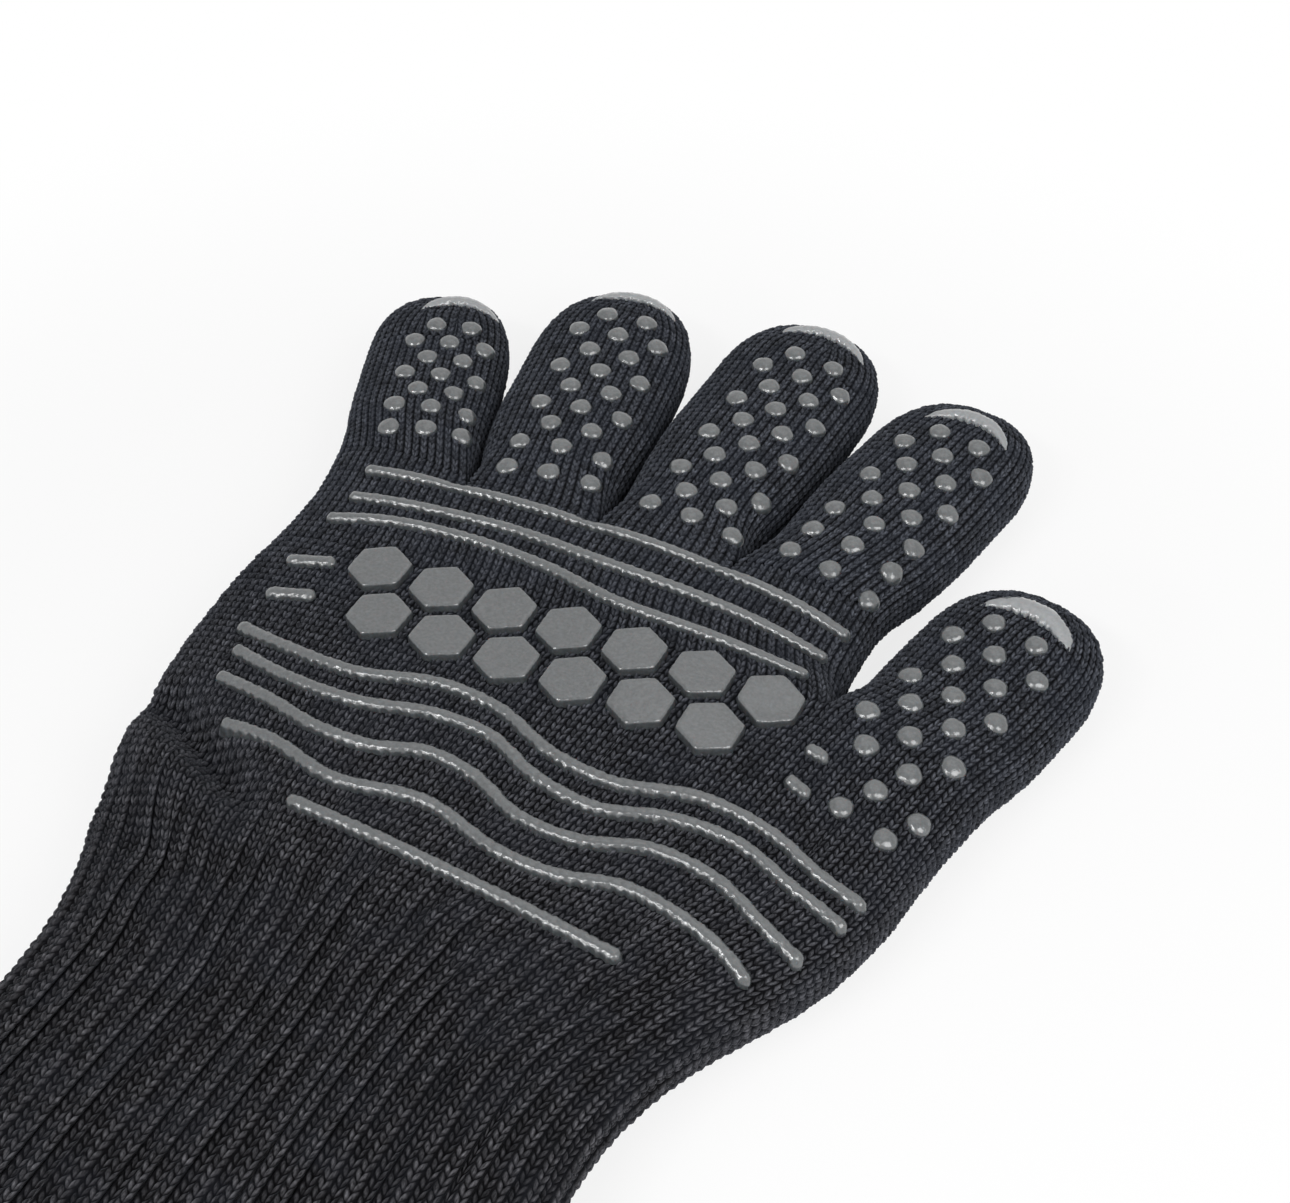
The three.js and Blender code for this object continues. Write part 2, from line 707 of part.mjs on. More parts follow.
function padCentres() {
  const [field] = printPoints([padFieldShares]);
  const pitch = padWidth + padSpacing;
  const rowPitch = pitch * Math.cos(Math.PI / 6);
  const centres = [];
  for (let row = 0; row < 2; row++) {
    const count = padsInLongRow - row;
    const y = field.y + rowPitch * (1 / 2 - row);
    for (let i = 0; i < count; i++) {
      centres.push(new THREE.Vector2(field.x + pitch * (i - (count - 1) / 2), y));
    }
  }
  return centres;
}

const shellFinish = new THREE.MeshStandardMaterial({ color: 0x2e3035, roughness: 0.95 });
const liningFinish = new THREE.MeshStandardMaterial({ color: 0x5c5f64, roughness: 0.98 });
const bindingFinish = new THREE.MeshStandardMaterial({ color: 0x25272b, roughness: 0.9 });
const siliconeFinish = new THREE.MeshStandardMaterial({ color: 0x767a7f, roughness: 0.38 });

const glove = new THREE.Group();

function addPiece(name, geometry, finish) {
  const piece = new THREE.Mesh(geometry, finish);
  piece.name = name;
  glove.add(piece);
}

addPiece('palm_shell', palmShell(), shellFinish);
addPiece('palm_lining', palmLining(), liningFinish);
addPiece('cuff_binding', cuffBinding(), bindingFinish);
for (const digit of digits) {
  addPiece(`${digit.name}_shell`, fingerShell(digit), shellFinish);
  addPiece(`${digit.name}_lining`, fingerLining(digit), liningFinish);
  addPiece(`${digit.name}_tip_grip`, crescentGeometry(digit), siliconeFinish);
}

const stripeSize = { width: stripeWidth, height: stripeHeight, endShare: 0.6 };
const dashSize = { width: dashWidth, height: stripeHeight, endShare: 0.8 };

function addBeads(name, lines, size, step) {
  lines.forEach((line, index) => {
    const bead = beadGeometry(printPoints(line), size, step);
    addPiece(lines.length > 1 ? `${name}_${index + 1}` : name, bead, siliconeFinish);
  });
}
addBeads('arc_grip', arcShares, stripeSize, stripeStep);
addBeads('wave_grip', waveShares, stripeSize, stripeStep);
addBeads('heel_grip', [heelLineShares], stripeSize, stripeStep);
addBeads('dash_grip', dashShares, dashSize, dashStep);
padCentres().forEach((centre, index) => {
  addPiece(`pad_grip_${index + 1}`, padGeometry(centre), siliconeFinish);
});

// Centred over the middle of its own outline, standing on Z = 0
const outline = new THREE.Box3().setFromObject(glove);
const middle = outline.getCenter(new THREE.Vector3());
glove.position.set(-middle.x, -middle.y, -outline.min.z);

export default glove;
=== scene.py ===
import bpy
import json
import math
import numpy as np
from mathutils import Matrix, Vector
from mathutils.bvhtree import BVHTree


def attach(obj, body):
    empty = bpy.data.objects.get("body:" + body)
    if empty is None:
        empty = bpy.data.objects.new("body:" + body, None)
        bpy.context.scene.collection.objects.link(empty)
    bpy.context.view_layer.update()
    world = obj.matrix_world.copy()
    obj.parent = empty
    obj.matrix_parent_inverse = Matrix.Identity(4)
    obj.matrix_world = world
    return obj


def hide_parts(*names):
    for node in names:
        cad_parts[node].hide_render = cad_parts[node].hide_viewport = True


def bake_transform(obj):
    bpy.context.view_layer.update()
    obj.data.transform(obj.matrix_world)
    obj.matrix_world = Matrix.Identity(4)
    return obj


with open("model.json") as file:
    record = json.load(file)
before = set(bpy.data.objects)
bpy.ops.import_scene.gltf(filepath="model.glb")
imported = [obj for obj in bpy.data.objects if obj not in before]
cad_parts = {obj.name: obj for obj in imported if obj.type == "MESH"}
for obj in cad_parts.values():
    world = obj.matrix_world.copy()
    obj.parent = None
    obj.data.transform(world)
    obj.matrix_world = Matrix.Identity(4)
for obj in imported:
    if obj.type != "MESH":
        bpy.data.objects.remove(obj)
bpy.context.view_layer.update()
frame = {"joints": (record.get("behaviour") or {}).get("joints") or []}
MM = 0.001

# Places along the hand, in millimetres: the knuckle line, the crotch of the thumb and the cuff's
# edge. The fork is where the thumb's knit leaves the fingers' knit, across the hand.
KNUCKLE_Y, CROTCH_Y, CUFF_Y = 21.0, -11.0, -235.0
FORK_X = 41.94

# The drawing's zero point in the frame: the little finger's hinge is at a known place in both
LITTLE_HINGE_X = -68.913
hinges = {joint["name"]: np.array(joint["pos_m"]) / MM for joint in frame["joints"]}
SHIFT = np.array([hinges["little_bend"][0] - LITTLE_HINGE_X, hinges["little_bend"][1] - KNUCKLE_Y, 0.0])

# Knit: wales on the front of a finger, of the thumb and on half a side wall, mesh columns
# in a wale, mesh rows in a course, the length of a course and the depth of the stitches
FINGER_WALES, THUMB_WALES, WALL_WALES = 14, 14, 5
COLS, ROWS = 6, 4
COURSE = 1.76
RELIEF = 0.9
STEP = COURSE / ROWS

# The back of the knit is flattened where it rests: how far its round would reach below the
# ground, and the height at which the skin is cut off there
SINK = 0.9
FLOOR = 0.35

# Roundness of the sections of the palm and the digits, and of the tips' outline
PALM_POWER, FINGER_POWER, TIP_POWER = 3.4, 2.5, 2.35

# Thickness of a digit at its root and further out, and the rise of its middle at the tip
ROOT_THICKNESS, DIGIT_THICKNESS, TIP_RISE = 19.4, 18.8, 0.8

# The thumb side of the rings at the crotch lies nearer the cuff than their little finger side
THUMB_SIDE_DROP = 7.5

# The index finger's fold line lies behind the knuckle line
INDEX_SETBACK = 4.0


def smooth(value, start, end):
    """0 before start, 1 past end, with an even ramp between."""
    t = np.clip((np.asarray(value, float) - start) / (end - start), 0.0, 1.0)
    return t * t * (3 - 2 * t)


def lerp(first, second, share):
    return first + (second - first) * share


def curve(knots):
    """Smooth function through (place, value) pairs."""
    places, values = np.array(knots, float).T
    slope = np.gradient(values, places)

    def at(x):
        x = np.clip(np.asarray(x, float), places[0], places[-1])
        i = np.clip(np.searchsorted(places, x) - 1, 0, len(places) - 2)
        gap = places[i + 1] - places[i]
        t = (x - places[i]) / gap
        return (values[i] * (1 + 2 * t) * (1 - t) ** 2 + values[i + 1] * t * t * (3 - 2 * t)
                + gap * t * (1 - t) * (slope[i] * (1 - t) - slope[i + 1] * t))
    return at


# Outline of the hand and the cuff: place along the hand, then the place of the little finger's
# side, of the thumb's side and of the index finger's side, and the thickness of the knit
left_edge = curve([(-235, -62.0), (-173, -61.2), (-122, -60.2), (-108, -61.0), (-97, -64.0),
                   (-82, -70.8), (-63.5, -75.4), (-45, -79.0), (-29, -80.4), (-16, -80.4),
                   (-5, -79.6), (8, -80.7), (21, -83.7)])
right_edge = curve([(-235, 44.4), (-173, 43.3), (-122, 41.3), (-108, 41.7), (-97, 43.8),
                    (-84, 49.2), (-73, 56.3), (-63.5, 62.0), (-52, 66.5), (-45, 68.3),
                    (-36, 69.9), (-25, 72.0), (-18.5, 73.6)])
index_edge = curve([(-11, 41.9), (-5, 41.0), (8, 40.6), (21, 40.8)])
thickness = curve([(-235, 25), (-173, 24.6), (-130, 23.0), (-111, 21.6), (-92, 20.9), (-64, 21.5),
                   (-30, 21.6), (-5, 20.9), (8, 20.2), (21, 19.4)])

# Each digit: the middle of its root, its width at the root and further out, its length, its
# angle from the hand's length, and the length of its round end as a share of its width
DIGITS = {
    "little": dict(root=(-67.4, 21.0), base=29.4, width=32.4, length=65.0, splay=-20.2, end=0.71),
    "ring": dict(root=(-36.9, 21.0), base=29.9, width=36.9, length=81.1, splay=-9.0, end=0.79),
    "middle": dict(root=(-6.5, 21.0), base=28.6, width=37.2, length=86.2, splay=2.7, end=0.67),
    "index": dict(root=(25.1, 17.0), base=29.4, width=35.7, length=78.4, splay=11.3, end=0.60),
    "thumb": dict(root=(57.8, -14.53), base=33.5, width=35.8, length=57.3, splay=14.2, end=0.62),
}
FINGERS = ["little", "ring", "middle", "index"]
# Valleys between the fingers on the knuckle line
BOUNDARIES = [-51.7, -20.6, 9.8]
for name, digit in DIGITS.items():
    angle = math.radians(digit["splay"])
    digit["along"] = np.array([math.sin(angle), math.cos(angle)])
    digit["across"] = np.array([math.cos(angle), -math.sin(angle)])
    digit["cap"] = digit["width"] * digit["end"]
    digit["body"] = "thumb" if name == "thumb" else name + "_finger"


def half_oval(half_width, half, power, count):
    """Places across and heights of the upper half of a rounded section, from left to right."""
    turn = np.linspace(math.pi, 0, count)
    across = np.sign(np.cos(turn)) * np.abs(np.cos(turn)) ** (2 / power) * half_width
    return across, np.abs(np.sin(turn)) ** (2 / power) * half


def arc_lengths(x, z):
    return np.concatenate([[0], np.cumsum(np.hypot(np.diff(x), np.diff(z)))])


def ring_points(half_width, half, middle, floor, power, fractions):
    """Points (across, up) at arc fractions round the front, then the back, of one section."""
    across, rise = half_oval(half_width, half, power, 721)
    out = []
    for front in (True, False):
        x = across if front else across[::-1]
        z = np.maximum(middle + (rise if front else -rise[::-1]), floor)
        arc = arc_lengths(x, z)
        shares = fractions if front else (1 - fractions[::-1])
        at = shares[:-1] * arc[-1]
        out.append(np.stack([np.interp(at, arc, x), np.interp(at, arc, z)], 1))
    return np.concatenate(out)


def arc_fraction(half_width, half, power, x):
    """Arc fraction over the front of a section at a place across it."""
    across, rise = half_oval(half_width, half, power, 1441)
    arc = arc_lengths(across, rise)
    return float(np.interp(x, across, arc) / arc[-1])


# Folds of the palm: where each starts and ends, its half width and depth. Below zero is a ridge
FOLDS = [
    ((-74, -57), (-36, -79), 3.8, 6.2),
    ((-74, -78), (-40, -98), 5.0, 2.6),
    ((-76, -66), (-44, -84), 6.0, -1.6),
    ((54, -82), (30, -96), 7.0, 1.0),
    ((40, -12), (28, -24), 4.0, 1.2),
]


def creases(points):
    """The points with the soft folds and slow waves of the padded knit added to the palm side."""
    x, y, z = points[..., 0], points[..., 1], points[..., 2]
    palm_side = smooth(z, 8, 16)
    wave = (0.45 * np.sin(x / 17.0 + 0.8) * np.sin(y / 23.0 + 1.3)
            + 0.3 * np.sin(x / 9.5 + y / 14.0 + 2.1) + 0.25 * np.sin(y / 7.5 - x / 21.0))
    wave *= smooth(y, CUFF_Y, CUFF_Y + 35) * 0.9
    for start, end, half_width, depth in FOLDS:
        run = np.subtract(end, start)
        from_x, from_y = x - start[0], y - start[1]
        t = (from_x * run[0] + from_y * run[1]) / (run @ run)
        beside = (from_x * run[1] - from_y * run[0]) / np.hypot(*run)
        faded = smooth(t, -0.12, 0.15) * (1 - smooth(t, 0.5, 1.1))
        wave = wave - depth * np.exp(-(beside / half_width) ** 2) * faded
    out = points.copy()
    out[..., 2] = z + palm_side * wave
    return out


def hand_size(y, left, right, inset=0.0):
    """Half width, half thickness, middle height and lowest height of the hand at a place."""
    half = (thickness(y) + SINK) / 2
    return (right - left) / 2 - inset, half - inset, half - SINK, FLOOR + inset


def section_ring(y, left, right, size, fractions):
    """Points at arc fractions round the hand, or round what lines or binds it, at a place."""
    ring = ring_points(*size, PALM_POWER, fractions)
    return np.stack([ring[:, 0] + (left + right) / 2, np.full(len(ring), y), ring[:, 1]], 1)


PALM_WALES = 4 * FINGER_WALES
ALL_WALES = PALM_WALES + THUMB_WALES


def wale_ranks(wales, walls):
    """Order in which the wales of half a tube end, the side walls' last."""
    rank = (np.arange(wales) * 0.6180339887 + 0.3) % 1.0
    rank[:walls] -= 1
    rank[-walls:] -= 1
    return np.argsort(np.argsort(rank)).astype(float)


HAND_RANKS = wale_ranks(ALL_WALES + 2 * WALL_WALES, WALL_WALES)


def edges_of(weight):
    """Arc fractions of the mesh columns round half a tube, from the widths of its wales."""
    edges = np.concatenate([[0], np.cumsum(weight)]) / weight.sum()
    return np.interp(np.arange(len(weight) * COLS + 1) / COLS, np.arange(len(weight) + 1), edges)


def wale_shares(y, half_round, wales):
    """Arc fractions round half the hand. Where it narrows towards the cuff some wales narrow
    and end, so that the others keep their width."""
    pitch = float(np.interp(y, [-150, -112, -70, CROTCH_Y], [2.28, 2.26, 2.08, 2.2]))
    count = half_round / pitch
    weight = 1 - smooth(HAND_RANKS, count - 6, count + 1)
    weight = lerp(weight, np.ones(wales), float(smooth(y, -24, CROTCH_Y - 2)))
    return edges_of(weight)


def lower_hand():
    """Rings from the cuff's edge to the crotch of the thumb, one array row each."""
    wales = ALL_WALES + 2 * WALL_WALES
    even = np.linspace(0, 1, wales * COLS + 1)
    left, right = float(left_edge(CROTCH_Y)), float(right_edge(CROTCH_Y - THUMB_SIDE_DROP))
    half_width, half = hand_size(CROTCH_Y, left, right)[:2]
    fork = arc_fraction(half_width, half, PALM_POWER, FORK_X - (left + right) / 2)
    split = (WALL_WALES + PALM_WALES) / wales
    last = np.interp(even, [0, split, 1], [0, fork, 1])
    count = int(round((CROTCH_Y - CUFF_Y) / COURSE)) * ROWS
    rings = []
    for y in np.linspace(CUFF_Y, CROTCH_Y, count + 1):
        drop = THUMB_SIDE_DROP * float(smooth(y, -95, CROTCH_Y))
        left, right = float(left_edge(y)), float(right_edge(y - drop))
        half_round = (right - left) + 0.8 * float(thickness(y))
        near_fork = float(smooth(y, -60, CROTCH_Y))
        shares = lerp(wale_shares(y, half_round, wales), last, near_fork)
        ring = section_ring(y, left, right, hand_size(y, left, right), shares)
        bound = lerp(lerp(left, right, split), FORK_X, near_fork)
        ring[:, 1] -= drop * np.clip((ring[:, 0] - bound) / (right - bound), 0, 1)
        rings.append(ring)
    return np.array(rings)


def corner_ring(source, start, wales, left_wall, right_wall):
    """First ring of a tube that leaves a wider one: its share of the wider ring's front and
    back, with straight walls where the knit forks and the wide ring's own side elsewhere."""
    count, wall, total = wales * COLS, WALL_WALES * COLS, len(source)
    half = total // 2
    first = wall + start * COLS
    front = source[first:first + count + 1]
    back = source[(total - first - count + np.arange(count + 1)) % total]
    own_left = source[(total - wall + np.arange(2 * wall + 1)) % total]
    own_right = source[half - wall:half + wall + 1]
    t = np.linspace(0, 1, 2 * wall + 1)[:, None]
    left = own_left if left_wall else lerp(back[-1], front[0], t)
    right = own_right if right_wall else lerp(front[-1], back[0], t)
    return np.concatenate([left[wall:-1], front[:-1], right[:-1], back[:-1], left[:wall]])


def finger_crowns(ring, y):
    """Draws the knuckles' section into the crowns of the fingers, with valleys between."""
    depth = 0.42 * float(smooth(y, 12.5, KNUCKLE_Y + 1))
    edges = [float(left_edge(KNUCKLE_Y))] + BOUNDARIES + [float(index_edge(KNUCKLE_Y))]
    middle = (float(thickness(y)) - SINK) / 2
    across = (ring[:, 0] - edges[0]) / (edges[-1] - edges[0])
    guard = smooth(across, 0.0, 0.06) * (1 - smooth(across, 0.94, 1.0))
    out = ring.copy()
    for left, right in zip(edges[:-1], edges[1:]):
        t = np.clip(np.abs(ring[:, 0] - (left + right) / 2) / ((right - left) / 2), 0, 1)
        inside = (ring[:, 0] >= left) & (ring[:, 0] <= right)
        crown = (1 - t ** FINGER_POWER) ** (1 / FINGER_POWER)
        pull = 1 - depth * (1 - np.maximum(crown, 1 - guard))
        out[inside, 2] = (middle + (ring[:, 2] - middle) * pull)[inside]
    return out


def upper_hand(start):
    """Rings from the crotch of the thumb to the knuckle line."""
    wales = PALM_WALES + 2 * WALL_WALES
    even = np.linspace(0, 1, wales * COLS + 1)
    left, right = float(left_edge(KNUCKLE_Y)), float(index_edge(KNUCKLE_Y))
    half_width, half = hand_size(KNUCKLE_Y, left, right)[:2]
    valleys = [arc_fraction(half_width, half, PALM_POWER, x - (left + right) / 2) for x in BOUNDARIES]
    marks = [(WALL_WALES + FINGER_WALES * (i + 1)) / wales for i in range(len(BOUNDARIES))]
    last = np.interp(even, [0] + marks + [1], [0] + valleys + [1])
    count = int(round((KNUCKLE_Y - CROTCH_Y) / COURSE)) * ROWS
    rings = []
    for y in np.linspace(CROTCH_Y, KNUCKLE_Y, count + 1):
        left, right = float(left_edge(y)), float(index_edge(y))
        shares = lerp(even, last, float(smooth(y, CROTCH_Y, KNUCKLE_Y)))
        own = section_ring(y, left, right, hand_size(y, left, right), shares)
        own = finger_crowns(own, y)
        moved = start + np.array([0, y - CROTCH_Y, 0])
        rings.append(lerp(moved, own, float(smooth(y, CROTCH_Y - 1, CROTCH_Y + 17))))
    return np.array(rings)


def digit_size(digit, distance):
    """Half width, half thickness, middle height and lowest height of a digit at a distance."""
    straight = digit["length"] - digit["cap"]
    grow = float(smooth(distance, 0, 0.72 * straight))
    shrink = 1.0
    if distance > straight:
        shrink = max(0.0, 1 - ((distance - straight) / digit["cap"]) ** TIP_POWER) ** (1 / TIP_POWER)
    half = (lerp(ROOT_THICKNESS, DIGIT_THICKNESS, grow) + SINK) / 2
    width = lerp(digit["base"], digit["width"], grow)
    middle = half - SINK + TIP_RISE * float(smooth(distance, straight, digit["length"]))
    return width / 2 * shrink, half * shrink, middle, FLOOR


def digit_rows(digit, first):
    """Distances of the rings along a digit, evenly spaced over its round end too."""
    distances = np.linspace(first, digit["length"] - 1e-4, 4000)
    sizes = np.array([sum(digit_size(digit, distance)[:2]) for distance in distances])
    arc = arc_lengths(distances, 0.5 * sizes)
    count = int(arc[-1] / STEP)
    return np.interp(np.linspace(0, arc[-1], count + 1)[:-1], arc, distances)


def fold_offset(name):
    """Distance along a digit from its root to its knit's first ring."""
    return INDEX_SETBACK if name == "index" else 0.0


def digit_tube(name, start):
    """Rings of a digit from its fold line to its round end, where its wales narrow and end."""
    digit = DIGITS[name]
    wales = (THUMB_WALES if name == "thumb" else FINGER_WALES) + 2 * WALL_WALES
    shares = np.linspace(0, 1, wales * COLS + 1)
    ranks = wale_ranks(wales, WALL_WALES)
    offset = fold_offset(name)
    blend_start = float(smooth(0, -2, 20))
    rings = []
    for distance in digit_rows(digit, offset):
        size = digit_size(digit, distance)
        if distance > digit["length"] - digit["cap"]:
            count = max(7.0, (2 * size[0] + 1.6 * size[1]) / 2.05)
            shares = edges_of(1 - smooth(ranks, count - 2, count + 0.5))
        ring = ring_points(*size, FINGER_POWER, shares)
        place = np.array(digit["root"]) + digit["along"] * distance + ring[:, :1] * digit["across"]
        own = np.column_stack([place, ring[:, 1]])
        moved = start + np.append(digit["along"], 0) * (distance - offset)
        own_share = (float(smooth(distance - offset, -2, 20)) - blend_start) / (1 - blend_start)
        rings.append(lerp(moved, own, own_share))
    return np.array(rings)


def outward(grid):
    """Unit normals of a grid of points whose rows run along the knit and columns round it."""
    across = np.roll(grid, -1, 1) - np.roll(grid, 1, 1)
    normal = np.cross(across, np.gradient(grid, axis=0))
    return normal / np.maximum(np.linalg.norm(normal, axis=2, keepdims=True), 1e-9)


def cuff_ribs(grid):
    """1 on every second wale of the cuff, which is set back in the rib knit, and 0 elsewhere."""
    span = np.linalg.norm(np.roll(grid[0], -1, 0) - grid[0], axis=1)
    kept = span.reshape(-1, COLS).sum(1) > 0.3
    odd = (np.cumsum(kept) % 2).astype(float)
    across = 1 - np.abs((np.arange(grid.shape[1]) % COLS) / COLS - 0.5) * 0.6
    return (np.repeat(odd, COLS) * across)[None, :] * (1 - smooth(grid[:, :1, 1], -98, -64))


# Height of the stitches across a wale, from its edge to its middle, where they show singly and
# where they run together, and along a course
LEG_PLACES = [0, 0.33, 0.67, 1]
SINGLE_LEG = [0.24, 1.0, 0.78, 0.0]
JOINED_LEG = [0.8, 1.0, 0.5, 0.0]
COURSE_RISE = np.array([0.0, 0.8, 1.0, 0.7])

# Level of the stitches' height that lies on the smooth skin, the slant of their legs in rows,
# and how far the set-back wales of the rib lie below the others
SKIN_LEVEL = 0.55
LEG_SLANT = 0.76 * ROWS
RIB_DEPTH = 0.6


def own_number(wale, course, wale_step, course_step, spread):
    """Number between 0 and 1 for each stitch."""
    value = np.sin(wale * wale_step + course * course_step) * spread
    return value - np.floor(value)


def pattern(rows, cols, row_offset, ribs):
    """Height of the skin at each grid point of the stitches, place across the wale, height for
    the colour, and a number of its own for each stitch. ribs is 0 where the stitches show
    singly and 1 where they run together."""
    row = (np.arange(rows) + row_offset)[:, None]
    column = np.arange(cols)[None, :]
    wale, course = column // COLS, row // ROWS
    across = np.abs((column % COLS) / COLS - 0.5) * 2
    rise = COURSE_RISE[row % ROWS]
    single = np.interp(across, LEG_PLACES, SINGLE_LEG) * (0.12 + 0.88 * rise)
    joined = np.interp(across, LEG_PLACES, JOINED_LEG) * (0.6 + 0.4 * rise)
    height = single + (joined - single) * ribs[:, None]
    lift = own_number(wale, course, 12.9898, 78.233, 43758.5453)
    shade = own_number(wale, course, 39.3468, 11.135, 24634.6345)
    return height * (0.82 + 0.3 * lift), across, height, shade


def knit(grid, row_offset, ribs, set_back):
    """Displaces a smooth ring grid into rows of stitches. Gives the points, the heights and shades for the
    colour, the heights lowered on set-back wales as painted shade, and the widths of the grid's cells."""
    up, across, height, shade = pattern(*grid.shape[:2], row_offset, ribs)
    width = np.linalg.norm(np.roll(grid, -1, 1) - grid, axis=2)
    scale = np.clip(np.minimum(width, np.roll(width, 1, 1)) * COLS / 1.5, 0, 1)
    rise = (up - SKIN_LEVEL) * RELIEF * (1 - 0.3 * ribs[:, None]) * scale - RIB_DEPTH * set_back
    points = grid + outward(grid) * rise[..., None]
    points = points + np.gradient(grid, axis=0) * (across * LEG_SLANT)[..., None]
    # Set-back wales of the rib get a darker colour: painted shade in their recess
    return points, height * (1 - 0.36 * set_back), shade, width


def make_mesh(name, points, faces, normals=None, values=None, cap=None):
    """Smooth mesh object of points in the drawing's millimetres, with values for its material.
    cap is one more face with many corners."""
    mesh = bpy.data.meshes.new(name)
    places = (np.asarray(points, np.float64).reshape(-1, 3) + SHIFT) * MM
    faces = np.asarray(faces, np.int32)
    mesh.vertices.add(len(places))
    mesh.vertices.foreach_set("co", places.astype(np.float32).ravel())
    corners, starts = faces.ravel(), np.arange(0, faces.size, faces.shape[1])
    totals = np.full(len(faces), faces.shape[1])
    if cap is not None:
        corners = np.append(corners, cap)
        starts, totals = np.append(starts, faces.size), np.append(totals, len(cap))
    mesh.loops.add(len(corners))
    mesh.loops.foreach_set("vertex_index", corners.astype(np.int32))
    mesh.polygons.add(len(starts))
    mesh.polygons.foreach_set("loop_start", starts.astype(np.int32))
    mesh.polygons.foreach_set("loop_total", totals.astype(np.int32))
    mesh.update(calc_edges=True)
    mesh.polygons.foreach_set("use_smooth", np.ones(len(starts), bool))
    for key, numbers in (values or {}).items():
        layer = mesh.attributes.new(key, "FLOAT", "POINT")
        layer.data.foreach_set("value", np.asarray(numbers, np.float32).ravel())
    mesh.validate()
    if normals is not None:
        mesh.normals_split_custom_set_from_vertices(np.asarray(normals, np.float32))
    return placed(name, mesh)


def placed(name, data):
    """New object in the scene for a mesh, a light or a camera."""
    obj = bpy.data.objects.new(name, data)
    bpy.context.scene.collection.objects.link(obj)
    return obj


def grid_faces(rows, cols, closed):
    """Four-sided faces between the rows and columns of a grid, closed round it or open."""
    row = np.arange(rows - 1)[:, None]
    column = np.arange(cols if closed else cols - 1)[None, :]
    beside = (column + 1) % cols
    corners = [row * cols + column, row * cols + beside,
               (row + 1) * cols + beside, (row + 1) * cols + column]
    return np.stack(corners, -1).reshape(-1, 4)


def grid_object(name, knitted, columns, normals, closed_tip):
    """Mesh of some columns of a knitted grid. Wales that have narrowed to nothing are left out."""
    points, height, shade, width = (layer[:, columns] for layer in knitted)
    rows, cols = points.shape[:2]
    wide = np.maximum(width[:-1, :-1], width[1:, :-1]) > 0.004
    faces = grid_faces(rows, cols, False).reshape(rows - 1, cols - 1, 4)[wide]
    used, faces = np.unique(faces, return_inverse=True)
    values = {"knit_height": height.ravel()[used], "stitch": shade.ravel()[used]}
    kept = None if normals is None else normals[:, columns].reshape(-1, 3)[used]
    in_last_row = (used >= (rows - 1) * cols) & (used < rows * cols - 1)
    cap = np.flatnonzero(in_last_row) if closed_tip else None
    return make_mesh(name, points.reshape(-1, 3)[used], faces.reshape(-1, 4), kept, values, cap)


# Knit of the hand, in pieces that share their edges with the digits
lower = lower_hand()
upper = upper_hand(corner_ring(lower[-1], 0, PALM_WALES, True, False))
tubes = {name: digit_tube(name, corner_ring(upper[-1], i * FINGER_WALES, FINGER_WALES, i == 0, i == 3))
         for i, name in enumerate(FINGERS)}
tubes["thumb"] = digit_tube("thumb", corner_ring(lower[-1], PALM_WALES, THUMB_WALES, False, True))
smooth_skins = []


def build_grid(name, grid, first_course, splits, ribs, set_back=0.0):
    """Knit of one closed tube, in side by side pieces below the exporter's face limit."""
    grid = creases(grid)
    smooth_skins.append(grid)
    knitted = knit(grid, first_course * ROWS, ribs, set_back)
    total = grid.shape[1]
    normals = outward(knitted[0]) if splits > 1 else None
    pieces = []
    for i in range(splits):
        start, end = (total // COLS * part // splits * COLS for part in (i, i + 1))
        columns = np.arange(start, end + 1) % total
        pieces.append(grid_object(f"{name}_{i + 1}", knitted, columns, normals, splits == 1))
    return pieces


def rib_share(y):
    """How far the stitches run together along their wales, more so towards the fingers."""
    return 0.12 + 0.5 * smooth(y, -22, 6)


courses_low = (lower.shape[0] - 1) // ROWS
courses_top = courses_low + (upper.shape[0] - 1) // ROWS
hand_pieces = build_grid("knit_hand", lower, 0, 6, rib_share(lower[:, 0, 1]), cuff_ribs(lower))
hand_pieces += build_grid("knit_knuckles", upper, courses_low, 2, rib_share(upper[:, 0, 1]))
digit_pieces = {}
for name, grid in tubes.items():
    rows = grid.shape[0]
    if name == "thumb":
        first_course, ribs = courses_low, float(rib_share(CROTCH_Y)) + 0.1 * smooth(np.arange(rows), 0, 50)
    else:
        first_course, ribs = courses_top, np.full(rows, float(rib_share(KNUCKLE_Y)))
    digit_pieces[name] = build_grid("knit_" + name, grid, first_course, 1, ribs)

skin_points, skin_faces, point_count = [], [], 0
for grid in smooth_skins:
    rows, cols = grid.shape[:2]
    coarse = grid[np.unique(np.append(np.arange(0, rows, 3), rows - 1))]
    skin_points.append(coarse.reshape(-1, 3))
    skin_faces.append(grid_faces(coarse.shape[0], cols, True) + point_count)
    point_count += coarse.shape[0] * cols
skin_tree = BVHTree.FromPolygons(np.concatenate(skin_points).tolist(), np.concatenate(skin_faces).tolist())


def top_z(x, y):
    """Height and normal of the knit's upper skin at a place."""
    place, normal = skin_tree.ray_cast(Vector((x, y, 60)), Vector((0, 0, -1)))[:2]
    if place is None:
        return 0.0, Vector((0, 0, 1))
    return place.z, (normal if normal.z > 0 else -normal)


# Materials
def nodes_of(name):
    material = bpy.data.materials.new(name)
    material.use_nodes = True
    tree = material.node_tree
    return material, tree, tree.nodes["Principled BSDF"]


def set_inputs(node, values):
    for key, value in values.items():
        node.inputs[key].default_value = value


def add(tree, kind, inputs=None, **settings):
    node = tree.nodes.new(kind)
    for key, value in settings.items():
        setattr(node, key, value)
    set_inputs(node, inputs or {})
    return node


def link(tree, output, socket):
    tree.links.new(output, socket)


def noise(tree, vector, scale, detail):
    node = add(tree, "ShaderNodeTexNoise", {"Scale": scale, "Detail": detail})
    link(tree, vector, node.inputs["Vector"])
    return node.outputs["Fac"]


